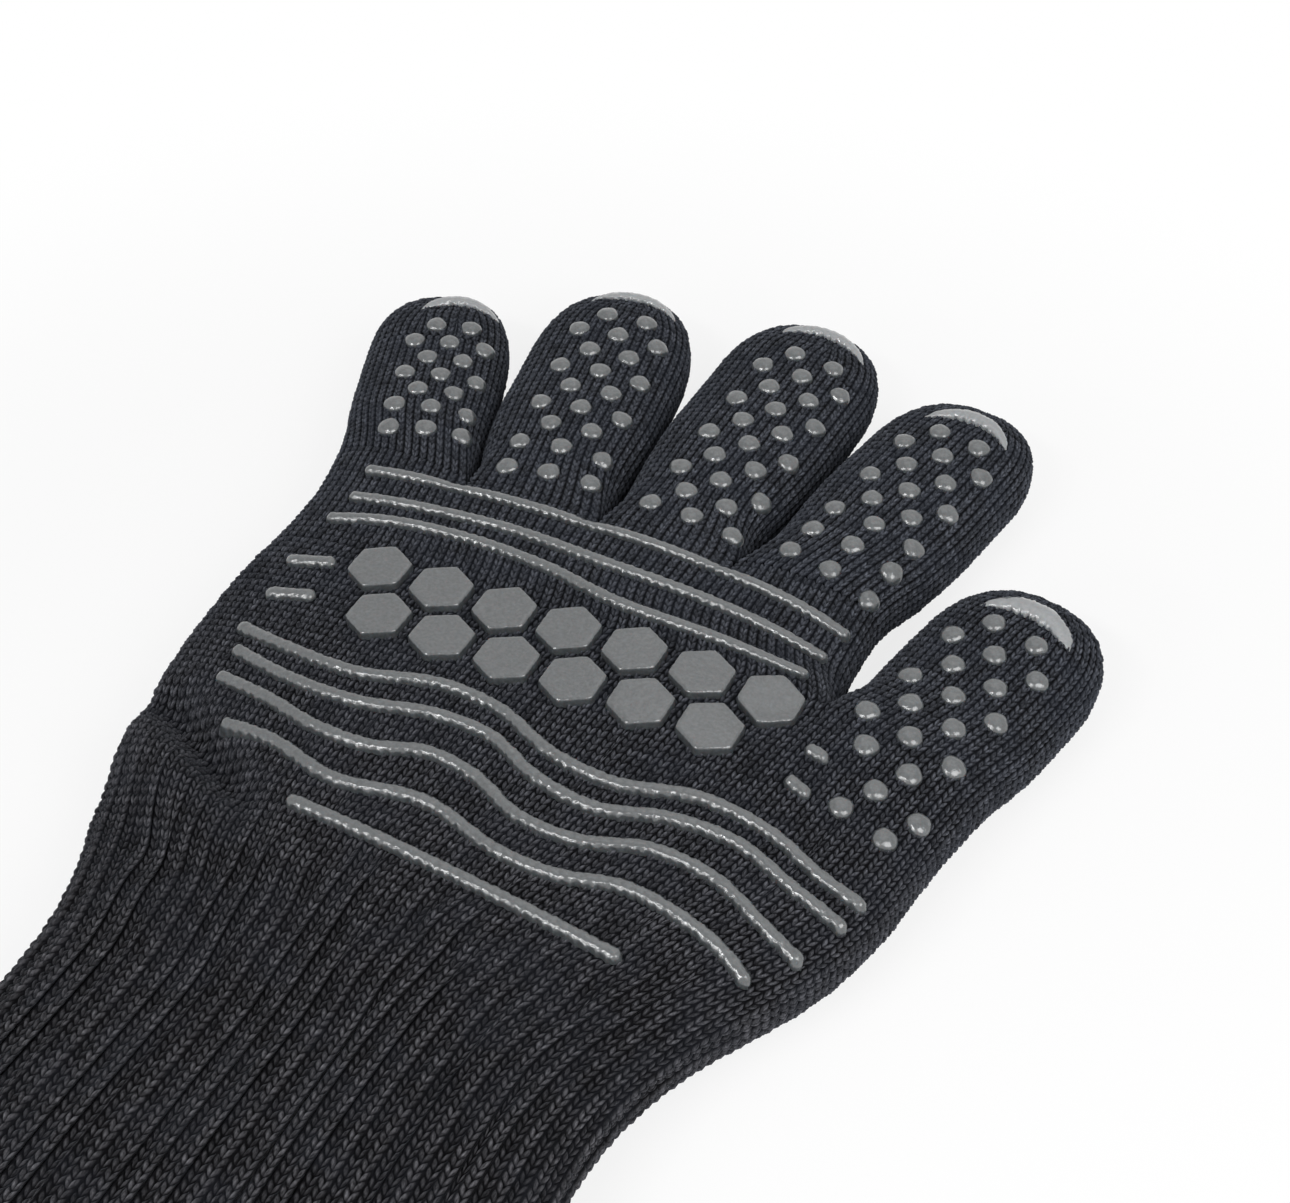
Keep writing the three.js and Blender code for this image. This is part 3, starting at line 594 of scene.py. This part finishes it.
def ranged(tree, value, limits, **settings):
    node = add(tree, "ShaderNodeMapRange", limits, **settings)
    link(tree, value, node.inputs["Value"])
    return node.outputs["Result"]


def ramp(tree, value, low, low_colour, high, high_colour):
    node = tree.nodes.new("ShaderNodeValToRGB")
    for stop, place, colour in zip(node.color_ramp.elements, (low, high), (low_colour, high_colour)):
        stop.position = place
        stop.color = (*colour, 1)
    link(tree, value, node.inputs["Fac"])
    return node.outputs["Color"]


def mixed(tree, kind, first, second, share=1.0):
    """Colour mix of two colours, each a colour or an output, by a share or an output."""
    node = add(tree, "ShaderNodeMix", data_type="RGBA", blend_type=kind)
    for socket, value in ((node.inputs[0], share), (node.inputs[6], first), (node.inputs[7], second)):
        if isinstance(value, bpy.types.NodeSocket):
            link(tree, value, socket)
        else:
            socket.default_value = value
    return node.outputs[2]


def bumped(tree, height, strength, distance):
    node = add(tree, "ShaderNodeBump", {"Strength": strength, "Distance": distance})
    link(tree, height, node.inputs["Height"])
    return node


def knit_material(name, base, tint, groove_shade, fuzz=0.35):
    """Yarn: painted shade darkens it between the stitches, each stitch of its own shade, mottled by its
    fibres and by painted flecks of highlight.
    """
    material, tree, bsdf = nodes_of(name)
    own_place = tree.nodes.new("ShaderNodeTexCoord").outputs["Object"]
    height = add(tree, "ShaderNodeAttribute", attribute_name="knit_height").outputs["Fac"]
    stitch = add(tree, "ShaderNodeAttribute", attribute_name="stitch").outputs["Fac"]
    drawn = add(tree, "ShaderNodeMapping", {"Scale": (1.0, 0.35, 1.0)})
    link(tree, own_place, drawn.inputs["Vector"])
    along_fibres = drawn.outputs["Vector"]

    # Painted shade: the colour darkens towards the groove colour where the knit is low between the stitches
    colour = ramp(tree, height, 0.22, groove_shade, 0.86, base)
    colour = mixed(tree, "MULTIPLY", colour, ranged(tree, stitch, {"To Min": 0.66, "To Max": 1.4}))
    # Fibre mottling, its brightest flecks a painted highlight on the stitches' legs
    fibre_speck_and_glint = ranged(tree, noise(tree, along_fibres, 2700.0, 3.0),
                   {"From Min": 0.3, "From Max": 0.7, "To Min": 0.25, "To Max": 1.95})
    colour = mixed(tree, "MULTIPLY", colour, fibre_speck_and_glint)
    patch = ranged(tree, noise(tree, own_place, 120.0, 4.0),
                   {"From Min": 0.42, "From Max": 0.62, "To Max": 0.16})
    colour = mixed(tree, "MIX", colour, (*tint, 1), patch)

    # A warmer cast at the cuff and a cooler one at the fingers
    split = tree.nodes.new("ShaderNodeSeparateXYZ")
    link(tree, own_place, split.inputs["Vector"])
    along = ranged(tree, split.outputs["Y"], {"From Min": -0.06, "From Max": 0.1},
                   interpolation_type="SMOOTHSTEP")
    cast = mixed(tree, "MIX", (1.03, 0.99, 0.98, 1), (0.93, 0.98, 1.07, 1), along)
    link(tree, mixed(tree, "MULTIPLY", colour, cast), bsdf.inputs["Base Color"])

    set_inputs(bsdf, {"Roughness": 0.92, "Specular IOR Level": 0.07, "Sheen Weight": fuzz,
                      "Sheen Roughness": 0.45, "Sheen Tint": (0.8, 0.87, 1.0, 1)})
    fibres = bumped(tree, noise(tree, along_fibres, 2600.0, 2.0), 0.6, 0.0002)
    link(tree, fibres.outputs["Normal"], bsdf.inputs["Normal"])
    return material


def silicone_material(name, base, edge):
    """Wet grey silicone with a pebbled skin under a clear coat."""
    material, tree, bsdf = nodes_of(name)
    own_place = tree.nodes.new("ShaderNodeTexCoord").outputs["Object"]
    fine = noise(tree, own_place, 1500.0, 4.0)
    slow = noise(tree, own_place, 620.0, 3.0)
    link(tree, ramp(tree, fine, 0.3, edge, 0.7, base), bsdf.inputs["Base Color"])
    roughness = ranged(tree, slow, {"From Min": 0.35, "From Max": 0.65, "To Min": 0.3, "To Max": 0.5})
    link(tree, roughness, bsdf.inputs["Roughness"])
    set_inputs(bsdf, {"Specular IOR Level": 0.4, "Coat Weight": 1.0, "Coat IOR": 1.7, "Coat Roughness": 0.1,
                      "Subsurface Weight": 0.08, "Subsurface Scale": 0.001})
    pebbles = bumped(tree, fine, 0.5, 0.00012)
    lumpy = bumped(tree, slow, 0.5, 0.0003)
    link(tree, pebbles.outputs["Normal"], lumpy.inputs["Normal"])
    link(tree, lumpy.outputs["Normal"], bsdf.inputs["Normal"])
    link(tree, lumpy.outputs["Normal"], bsdf.inputs["Coat Normal"])
    return material


# The groove colours are painted shade between the stitches
KNIT = knit_material("charcoal_knit", base=(0.060, 0.0615, 0.0675), tint=(0.030, 0.035, 0.047),
                     groove_shade=(0.003, 0.003, 0.0036), fuzz=0.1)
LINING = knit_material("lining_knit", base=(0.12, 0.125, 0.13), tint=(0.1, 0.1, 0.11),
                       groove_shade=(0.03, 0.03, 0.033))
BINDING = knit_material("binding_thread", base=(0.02, 0.022, 0.026), tint=(0.02, 0.02, 0.03),
                        groove_shade=(0.005, 0.005, 0.006))
RUBBER = silicone_material("grey_silicone", base=(0.082, 0.089, 0.093), edge=(0.045, 0.05, 0.053))
# The crescents' silicone is the grey print's silicone with a lighter base colour: painted reflection of the
# white surroundings on the tips
CRESCENT = silicone_material("silicone_painted_reflection", base=(0.28, 0.29, 0.297), edge=(0.23, 0.24, 0.247))


# Silicone print
def lumps(x, y, seed):
    """Uneven surface of moulded silicone, between about -1.6 and 1.6."""
    return (math.sin(x * 2.9 + seed) * math.sin(y * 3.3 + seed * 1.7)
            + 0.6 * math.sin(x * 5.7 - y * 4.9 + seed * 2.3))


# Sections round a bead and their spacing along it, how deep its edges reach into the knit, and
# the length over which it fills the valleys of the skin below it
BEAD_SECTIONS, BEAD_SPACING, BEAD_SINK, BEAD_FILL = 14, 0.42, 0.25, 3.5


def bead(name, points, width, height, crescent=False):
    """Raised bead along a smooth line, its edge uneven where it meets the stitches. A crescent
    gets narrower and lower all the way to its ends."""
    points = np.array(points, float)
    knots = arc_lengths(*points.T)
    length = knots[-1]
    count = max(8, int(length / BEAD_SPACING))
    along = np.linspace(0, length, count + 1)
    line = np.column_stack([curve(np.column_stack([knots, axis]))(along) for axis in points.T])
    tangent = np.gradient(line, axis=0)
    tangent /= np.linalg.norm(tangent, axis=1, keepdims=True)
    seat = np.array([top_z(x, y)[0] for x, y in line])
    near = np.exp(-((along[:, None] - along[None, :]) / BEAD_FILL) ** 2)
    fill = np.maximum(near @ seat / near.sum(axis=1) - seat, 0)
    vertices, seed = [], sum(ord(letter) for letter in name) % 17
    for i in range(count + 1):
        place = along[i]
        to_end = min(place, length - place)
        share = math.sqrt(max(0.0, 1 - max(0.0, 1 - to_end / (width * 0.55)) ** 2))
        if crescent:
            share *= 0.14 + 0.86 * max(0.0, math.sin(math.pi * (i / count))) ** 0.85
        share = max(share, 0.08)
        for k in range(BEAD_SECTIONS + 1):
            angle = math.pi * k / BEAD_SECTIONS
            flank = seed + (3 if k < BEAD_SECTIONS / 2 else 9)
            edge = 1 + 0.09 * lumps(line[i, 0], line[i, 1] + k * 0.2, flank)
            edge += 0.05 * math.sin(place * 1.1 + flank)
            edge += 0.07 * math.sin(place * 2.9 + flank) * abs(math.cos(angle))
            edge += 0.05 * math.sin(place * 6.1 + 2 * flank)
            reach = abs(math.cos(angle)) ** 0.8 * width / 2 * share * edge
            across = -math.copysign(reach, math.cos(angle))
            x = line[i, 0] + tangent[i, 1] * across
            y = line[i, 1] - tangent[i, 0] * across
            z = top_z(x, y)[0] - BEAD_SINK + math.sin(angle) ** 0.85 * height * share
            if 0 < k < BEAD_SECTIONS:
                z += 0.06 * lumps(x, y, seed + 5) + 0.05 * math.sin(place * 2.9 + seed) + fill[i]
            vertices.append((x, y, z))
    return make_mesh(name, vertices, grid_faces(count + 1, BEAD_SECTIONS + 1, False))


# Radius and height of a dot, the rings of points that it is built of and the points in one, and
# how deep the foot of a dot or a pad lies in the knit
DOT_RADIUS, DOT_HEIGHT, DOT_RINGS, DOT_SIDES = 2.45, 1.25, 9, 26
FOOT_DEPTH = 0.45


def ring_stack(rings, sides):
    """Faces of rings one above the other, and of the fan that closes the last one."""
    last = (rings - 1) * sides
    fan = [(last + k, last + (k + 1) % sides, rings * sides) for k in range(sides)]
    return grid_faces(rings, sides, True).tolist(), fan


def dome(x, y, radius, seed):
    """Low dome set on the knit, with its slightly lumpy outline. Gives points and faces."""
    height, normal = top_z(x, y)
    normal = Vector(normal).normalized()
    side = Vector((0, 1, 0)).cross(normal).normalized()
    front = normal.cross(side)
    base = Vector((x, y, height))
    vertices = []
    for ring in range(DOT_RINGS):
        reach = math.sin((1 - ring / DOT_RINGS) * math.pi / 2) ** 0.9
        up = (1 - reach ** 2.6) ** 0.62 * DOT_HEIGHT
        if ring == 0:
            reach, up = 1.02, -FOOT_DEPTH
        for k in range(DOT_SIDES):
            angle = 2 * math.pi * k / DOT_SIDES
            lump = 1 + 0.035 * (math.sin(3 * angle + seed) + 0.6 * math.sin(5 * angle + seed * 2.1))
            outwards = side * math.cos(angle) + front * math.sin(angle)
            lift = up + (0.03 * reach * math.sin(3 * angle + seed * 3) if ring else 0)
            vertices.append(base + outwards * (radius * reach * lump) + normal * lift)
    vertices.append(base + normal * DOT_HEIGHT)
    return vertices, *ring_stack(DOT_RINGS, DOT_SIDES)


def merged(name, parts):
    """One mesh object of several closed bosses."""
    vertices, faces, fans = [], [], []
    for part_vertices, part_faces, part_fan in parts:
        first = len(vertices)
        vertices += [tuple((np.array(vertex) + SHIFT) * MM) for vertex in part_vertices]
        faces += [tuple(corner + first for corner in face) for face in part_faces]
        fans += [tuple(corner + first for corner in face) for face in part_fan]
    mesh = bpy.data.meshes.new(name)
    mesh.from_pydata(vertices, [], faces + fans)
    mesh.polygons.foreach_set("use_smooth", np.ones(len(mesh.polygons), bool))
    mesh.update()
    return placed(name, mesh)


# The print's lines: points that each runs through, in millimetres
LINES = {
    "arc_grip_1": [(-71.5, 13.03), (-48.4, 15.89), (-24.2, 16.22), (0, 15.34), (19.8, 13.91),
                   (38.5, 11.38)],
    "arc_grip_2": [(-69.52, 3.57), (-52.03, 6.32), (-36.96, 7.75), (-9.9, 5.77), (19.8, 4.78),
                   (37.18, 3.02)],
    "arc_grip_3": [(-69.96, -4.57), (-55, -0.5), (-36.96, 1.26), (-22, -0.06), (-4.95, -3.69),
                   (19.8, -4.13), (36.3, -5.01)],
    "wave_grip_1": [(-68.53, -38.45), (-55, -40.98), (-40.04, -42.08), (-22, -37.68), (-12.1, -38.45),
                    (3.3, -44.28), (14.96, -45.6), (31.9, -42.08), (45.1, -43.62), (56.1, -47.91),
                    (64.68, -49.45)],
    "wave_grip_2": [(-65.45, -44.5), (-50.6, -48.02), (-35.2, -48.57), (-19.8, -44.94), (-9.9, -45.05),
                    (2.2, -50), (14.96, -51.87), (28.05, -48.57), (40.04, -48.24), (53.13, -52.64),
                    (63.25, -55.06)],
    "wave_grip_3": [(-64.02, -51.98), (-51.7, -53.96), (-38.5, -56.93), (-28.05, -56.93),
                    (-17.05, -53.52), (-8.03, -54.4), (3.3, -59.02), (14.96, -59.57), (28.05, -56.05),
                    (40.04, -57.15), (51.48, -62.1), (59.18, -64.74)],
    "wave_grip_4": [(-56.54, -62.1), (-45.1, -62.54), (-30.03, -65.95), (-12.1, -63.53), (4.95, -67.6),
                    (14.96, -67.82), (26.95, -65.4), (40.04, -67.38), (46.2, -69.25), (53.02, -72.55)],
    "heel_grip": [(-34.98, -73.1), (-9.9, -74.53), (9.9, -75.96), (32.78, -78.27)],
    "dash_grip_1": [(-70.51, -18.76), (-65.23, -17.55), (-59.95, -16.34)],
    "dash_grip_2": [(-68.97, -28.55), (-63.8, -27.34), (-58.52, -26.24)],
    "dash_grip_3": [(42.46, -22.5), (45.1, -23.05), (47.52, -23.93)],
    "dash_grip_4": [(42.02, -30.75), (44.88, -31.74), (47.52, -32.95)],
}

# Width and height of the lines and of the dashes
LINE_SIZE, DASH_SIZE = (2.75, 1.75), (2.9, 1.6)
grips = []
for name, points in LINES.items():
    size = DASH_SIZE if name.startswith("dash") else LINE_SIZE
    obj = bead("print_" + name, points, *size)
    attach(obj, "hand")
    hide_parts(name)
    grips.append(obj)

# Dots of each digit: the first row's distance from the root, the distances between rows and
# between columns, the shift of the columns towards the thumb, and the columns in each row.
# Where a row has the same columns as the one before, it lies further off by a factor.
THREE, TWO = (-1, 0, 1), (-0.5, 0.5)
LIKE_ROWS_APART = 1.2
DOTS = {
    "little": (8.2, 6.2, 8.0, 3.9, [THREE] + [THREE, TWO] * 3),
    "ring": (6.9, 7.0, 9.3, 2.3, [THREE] + [THREE, TWO] * 4),
    "middle": (7.3, 6.75, 9.5, 3.4, [THREE, TWO] * 5),
    "index": (9.1, 6.9, 9.5, 1.8, [THREE, THREE] + [THREE, TWO] * 3),
    "thumb": (-18.1, 7.25, 9.5, -0.2, [(0, 1), (0.25, 1.25), TWO] + [THREE, TWO] * 3),
}

# Each crescent's distance from the tip, and from the digit's middle line towards the thumb
TIP_MARKS = {"little": (7.2, 4.2), "ring": (5.4, 1.7), "middle": (5.8, 2.0), "index": (9.4, 1.1),
             "thumb": (9.1, -0.1)}

# A crescent's length and rise as shares of the digit's width, its height and its width
CRESCENT_LENGTH, CRESCENT_RISE, CRESCENT_HEIGHT = 0.56, 0.135, 1.9
CRESCENT_WIDTH, THUMB_CRESCENT_WIDTH = 4.2, 5.4


def on_digit(digit, distance, aside):
    """Place at a distance from a digit's root, and from its middle line towards the thumb."""
    place = np.array(digit["root"]) + digit["along"] * distance + digit["across"] * aside
    return place.tolist()


tip_grips = {}
for name, (first, pitch, spread, shift, rows) in DOTS.items():
    digit = DIGITS[name]
    on_hand, on_tip = [], []
    distance = first
    for i, row in enumerate(rows):
        if i:
            distance += pitch * (LIKE_ROWS_APART if row == rows[i - 1] else 1.0)
        for column in row:
            x, y = on_digit(digit, distance, column * spread + shift)
            seed = (i * 7 + column * 3 + len(name)) % 11
            part = dome(x, y, DOT_RADIUS + 0.08 * math.sin(seed * 2.2), seed)
            (on_hand if distance < 0 else on_tip).append(part)
    if on_hand:
        obj = merged(name + "_base_dots", on_hand)
        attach(obj, "hand")
        grips.append(obj)
    dots = merged(name + "_dots", on_tip)
    half = digit["width"] * CRESCENT_LENGTH / 2
    rise = digit["width"] * CRESCENT_RISE
    radius = (half * half + rise * rise) / (2 * rise)
    setback, aside = TIP_MARKS[name]
    middle = digit["length"] - setback - radius
    widest = math.asin(half / radius)
    points = [on_digit(digit, middle + radius * math.cos(turn), radius * math.sin(turn) + aside)
              for turn in np.linspace(-widest, widest, 9)]
    width = THUMB_CRESCENT_WIDTH if name == "thumb" else CRESCENT_WIDTH
    crescent = bead(name + "_crescent", points, width, CRESCENT_HEIGHT, crescent=True)
    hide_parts(name + "_tip_grip")
    tip_grips[name] = [dots, crescent]

# Width of a pad across its flat sides, its height, the points in one of its rings, the rounding
# of its corners, and the rings' shares of its width and height
PAD_WIDTH, PAD_HEIGHT, PAD_SIDES, PAD_ROUNDING = 11.4, 1.7, 72, 1.008
PAD_RINGS = [(1.005, 0.45), (0.99, 0.78), (0.965, 0.93), (0.92, 1.0), (0.84, 1.02), (0.7, 1.01),
             (0.56, 1.0), (0.42, 1.0), (0.28, 1.0), (0.14, 1.0)]

# Pads in each row and the row's place along the hand, the rows' middle, and the pads' spacing
PAD_ROWS = [(7, -14.88), (6, -26.92)]
PADS_MIDDLE, PAD_PITCH = -9.02, 13.9


def pad(x, y, seed):
    """Six-sided pad with soft corners and edges, its flat sides to the left and right."""
    vertices = []
    rings = [(1.0, -FOOT_DEPTH)] + [(size, share * PAD_HEIGHT) for size, share in PAD_RINGS]
    for size, up in rings:
        for k in range(PAD_SIDES):
            angle = 2 * math.pi * k / PAD_SIDES
            from_flat = (angle + math.pi / 6) % (math.pi / 3) - math.pi / 6
            to_corner = abs(from_flat) / (math.pi / 6)
            reach = PAD_WIDTH / 2 / math.cos(from_flat)
            reach -= PAD_ROUNDING * max(0.0, to_corner - 0.72) ** 1.5
            reach += 0.045 * lumps(math.cos(angle) * 5 + x, math.sin(angle) * 5 + y, seed)
            at_x = x + reach * size * math.cos(angle)
            at_y = y + reach * size * math.sin(angle)
            lump = 0.02 * lumps(at_x * 0.6, at_y * 0.6, seed + 3) if up > 0 else 0
            vertices.append((at_x, at_y, top_z(at_x, at_y)[0] + up + lump))
    lump = 0.02 * lumps(x * 0.6, y * 0.6, seed + 3)
    vertices.append((x, y, top_z(x, y)[0] + PAD_HEIGHT + lump))
    return vertices, *ring_stack(len(rings), PAD_SIDES)


number = 0
for count, y in PAD_ROWS:
    for i in range(count):
        number += 1
        x = PADS_MIDDLE + PAD_PITCH * (i - (count - 1) / 2)
        obj = merged(f"print_pad_{number}", [pad(x, y, number)])
        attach(obj, "hand")
        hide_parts(f"pad_grip_{number}")
        grips.append(obj)


# Lining at the cuff: its wales and the mesh columns in one, the step between its rings, how far
# it lies inside the knit, where it leaves the thumb's side of the hand, its end below the
# fingers, and the depth of its ribs
LINING_WALES, LINING_COLS, LINING_STEP = 66, 3, 1.02
LINING_INSET, LINING_TURN, LINING_END, LINING_RELIEF = 3.4, -45, 14, 0.28


def lining_tube():
    even = np.linspace(0, 1, LINING_WALES * LINING_COLS + 1)
    rings = []
    for y in np.arange(CUFF_Y + 0.5, LINING_END, LINING_STEP):
        left, right = float(left_edge(y)), float(right_edge(min(y, LINING_TURN)))
        right = lerp(right, float(index_edge(0)), float(smooth(y, LINING_TURN, 0)))
        rings.append(section_ring(y, left, right, hand_size(y, left, right, LINING_INSET), even))
    return np.array(rings)


grid = creases(lining_tube())
rows, cols = grid.shape[:2]
ribs = 0.5 + 0.5 * np.cos(np.arange(cols) / LINING_COLS * 2 * np.pi)[None, :]
loops = 0.5 + 0.5 * np.cos(np.arange(rows)[:, None] * np.pi)
heights = ribs * (0.6 + 0.4 * loops)
points = grid - outward(grid) * (LINING_RELIEF * heights)[..., None]
closing_face = np.arange(rows * cols - 1, (rows - 1) * cols - 1, -1)
lining = make_mesh("cuff_lining", points, grid_faces(rows, cols, True)[:, ::-1], None,
                   {"knit_height": heights, "stitch": np.full_like(heights, 0.5)}, closing_face)
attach(lining, "hand")
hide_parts("palm_lining")

# Binding at the cuff: its stitches, the mesh columns in one, the depth of its stitches and the
# wave of its edges. Its section is how far each ring lies inside the knit's outer side, and
# from the cuff's edge along the hand.
BINDING_STITCHES, BINDING_COLS, BINDING_RELIEF, BINDING_WAVE = 118, 6, 0.55, 0.25
BINDING_SECTION = [
    (-0.35, 7.6), (-0.75, 7.2), (-0.85, 6.0), (-0.9, 4.6), (-0.95, 3.2), (-1.0, 1.8), (-0.9, 0.6),
    (-0.4, -0.5), (0.5, -1.1), (1.7, -1.2), (2.8, -0.7), (3.6, 0.4), (3.9, 1.8), (3.9, 3.4),
    (3.8, 5.0), (3.6, 6.6), (3.2, 7.2)]

# The binding's rings and its stitches stay above these heights
RING_FLOOR, STITCH_FLOOR = 0.08, 0.05


def binding_band():
    """Rings of the binding round the cuff's edge, and how far each point of its stitches rises."""
    cols = BINDING_STITCHES * BINDING_COLS
    even = np.linspace(0, 1, cols // 2 + 1)
    left, right = float(left_edge(CUFF_Y)), float(right_edge(CUFF_Y))
    stitch = np.arange(cols) / BINDING_COLS
    rings, lift = [], []
    for i, (inset, rise) in enumerate(BINDING_SECTION):
        *size, floor = hand_size(CUFF_Y, left, right, inset)
        size.append(max(RING_FLOOR, floor))
        rings.append(section_ring(CUFF_Y + rise, left, right, size, even))
        lift.append(np.abs(np.sin(np.pi * (stitch + 0.13 * i))) ** 0.7)
    return np.array(rings), np.array(lift)


grid, lift = binding_band()
rows, cols = grid.shape[:2]
points = grid + outward(grid) * ((lift - 0.5) * BINDING_RELIEF)[..., None]
points[[0, -1], :, 1] += BINDING_WAVE * np.sin(np.arange(cols) / BINDING_COLS * 2 * np.pi)
points[..., 2] = np.maximum(points[..., 2], STITCH_FLOOR)
binding = make_mesh("cuff_binding_thread", points, grid_faces(rows, cols, True), None,
                    {"knit_height": lift, "stitch": 0.3 + 0.4 * np.sin(lift * 9)})
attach(binding, "hand")
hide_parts("cuff_binding")
binding.data.materials.append(BINDING)
lining.data.materials.append(LINING)

for obj in hand_pieces:
    obj.data.materials.append(KNIT)
    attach(obj, "hand")
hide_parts("palm_shell")
for obj in grips:
    obj.data.materials.append(RUBBER)

# Length and height of a line from a digit's first ring along its fold; its ends are worked out here but not
# used
BEND_LENGTH, BEND_HEIGHT = 15.0, 12.0
for name, pieces in digit_pieces.items():
    digit = DIGITS[name]
    turn = digit["along"] if name == "thumb" else np.array([0.0, 1.0])
    start = np.append(np.array(digit["root"]) + digit["along"] * fold_offset(name), BEND_HEIGHT)
    end = start + np.append(turn * BEND_LENGTH, 0)
    start, end = (start + SHIFT) * MM, (end + SHIFT) * MM
    for obj in pieces:
        obj.data.materials.append(KNIT)
        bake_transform(obj)
        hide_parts(name + "_shell", name + "_lining")
    for obj in tip_grips[name]:
        obj.data.materials.append(CRESCENT if "crescent" in obj.name else RUBBER)
        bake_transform(obj)


# Floor, light and camera
def combined(tree, operation, first, second):
    node = add(tree, "ShaderNodeMath", operation=operation)
    link(tree, first, node.inputs[0])
    link(tree, second, node.inputs[1])
    return node.outputs[0]


def mixed_shaders(tree, share, first, second):
    node = tree.nodes.new("ShaderNodeMixShader")
    for socket, output in zip(node.inputs, (share, first, second)):
        link(tree, output, socket)
    return node.outputs[0]


WHITE = (1, 1, 1, 1)
scene = bpy.context.scene
bpy.ops.mesh.primitive_plane_add(size=30, location=(0, 0, -0.0006))
floor = bpy.context.object
floor.name = "floor"

# The floor keeps a faint shadow near the glove and is plain white further off
material, tree, bsdf = nodes_of("pale_floor")
set_inputs(bsdf, {"Base Color": (0.9, 0.9, 0.9, 1), "Roughness": 0.8})
glow = add(tree, "ShaderNodeEmission", {"Color": WHITE, "Strength": 1.0})
position = tree.nodes.new("ShaderNodeNewGeometry").outputs["Position"]
away = add(tree, "ShaderNodeVectorMath", operation="LENGTH")
link(tree, position, away.inputs[0])
far = ranged(tree, away.outputs["Value"], {"From Min": 0.12, "From Max": 0.3, "To Min": 0.8},
             interpolation_type="SMOOTHSTEP")
rays = tree.nodes.new("ShaderNodeLightPath").outputs
shown = combined(tree, "MAXIMUM", rays["Is Camera Ray"], rays["Is Glossy Ray"])
faded = combined(tree, "MULTIPLY", far, shown)
surface = mixed_shaders(tree, faded, bsdf.outputs[0], glow.outputs[0])
link(tree, surface, tree.nodes["Material Output"].inputs["Surface"])
floor.data.materials.append(material)

# The world lights the glove dimly, and is white where it is seen or mirrored
world = bpy.data.worlds.new("studio")
scene.world = world
world.use_nodes = True
tree = world.node_tree
tree.nodes.clear()
plain = add(tree, "ShaderNodeBackground", {"Color": WHITE, "Strength": 0.26})
white = add(tree, "ShaderNodeBackground", {"Color": WHITE, "Strength": 1.0})
rays = tree.nodes.new("ShaderNodeLightPath").outputs
mirrored = combined(tree, "MAXIMUM", rays["Is Glossy Ray"], rays["Is Transmission Ray"])
shown = combined(tree, "MAXIMUM", rays["Is Camera Ray"], mirrored)
surface = mixed_shaders(tree, shown, plain.outputs[0], white.outputs[0])
link(tree, surface, tree.nodes.new("ShaderNodeOutputWorld").inputs["Surface"])


def turned_to(obj, target):
    obj.rotation_euler = (Vector(target) - obj.location).to_track_quat("-Z", "Y").to_euler()


def area_light(name, place, target, size, energy):
    data = bpy.data.lights.new(name, "AREA")
    data.shape = "RECTANGLE"
    data.size, data.size_y = size
    data.energy = energy
    light = placed(name, data)
    light.location = place
    turned_to(light, target)


area_light("key", (0.46, -0.14, 0.42), (0.04, 0.02, 0), (0.4, 0.4), 2.3)
area_light("top", (0.0, 0.55, 1.0), (0, 0.05, 0), (0.8, 0.8), 0.9)
area_light("glint", (-0.2, -0.6, 0.72), (0, 0.03, 0), (0.48, 0.1), 3.1)
area_light("low glint", (-0.3, -0.78, 0.42), (0, 0.0, 0), (0.4, 0.06), 1.6)

camera = bpy.data.cameras.new("camera")
camera.lens = 54.64
camera.sensor_width = 36.0
camera.sensor_fit = "HORIZONTAL"
camera.clip_start = 0.01
eye = placed("camera", camera)
eye.location = (0.1239, -0.1854, 0.2831)
turned_to(eye, (0.00613, 0.06373, 0.0203))
scene.camera = eye
scene.view_settings.view_transform = "Standard"
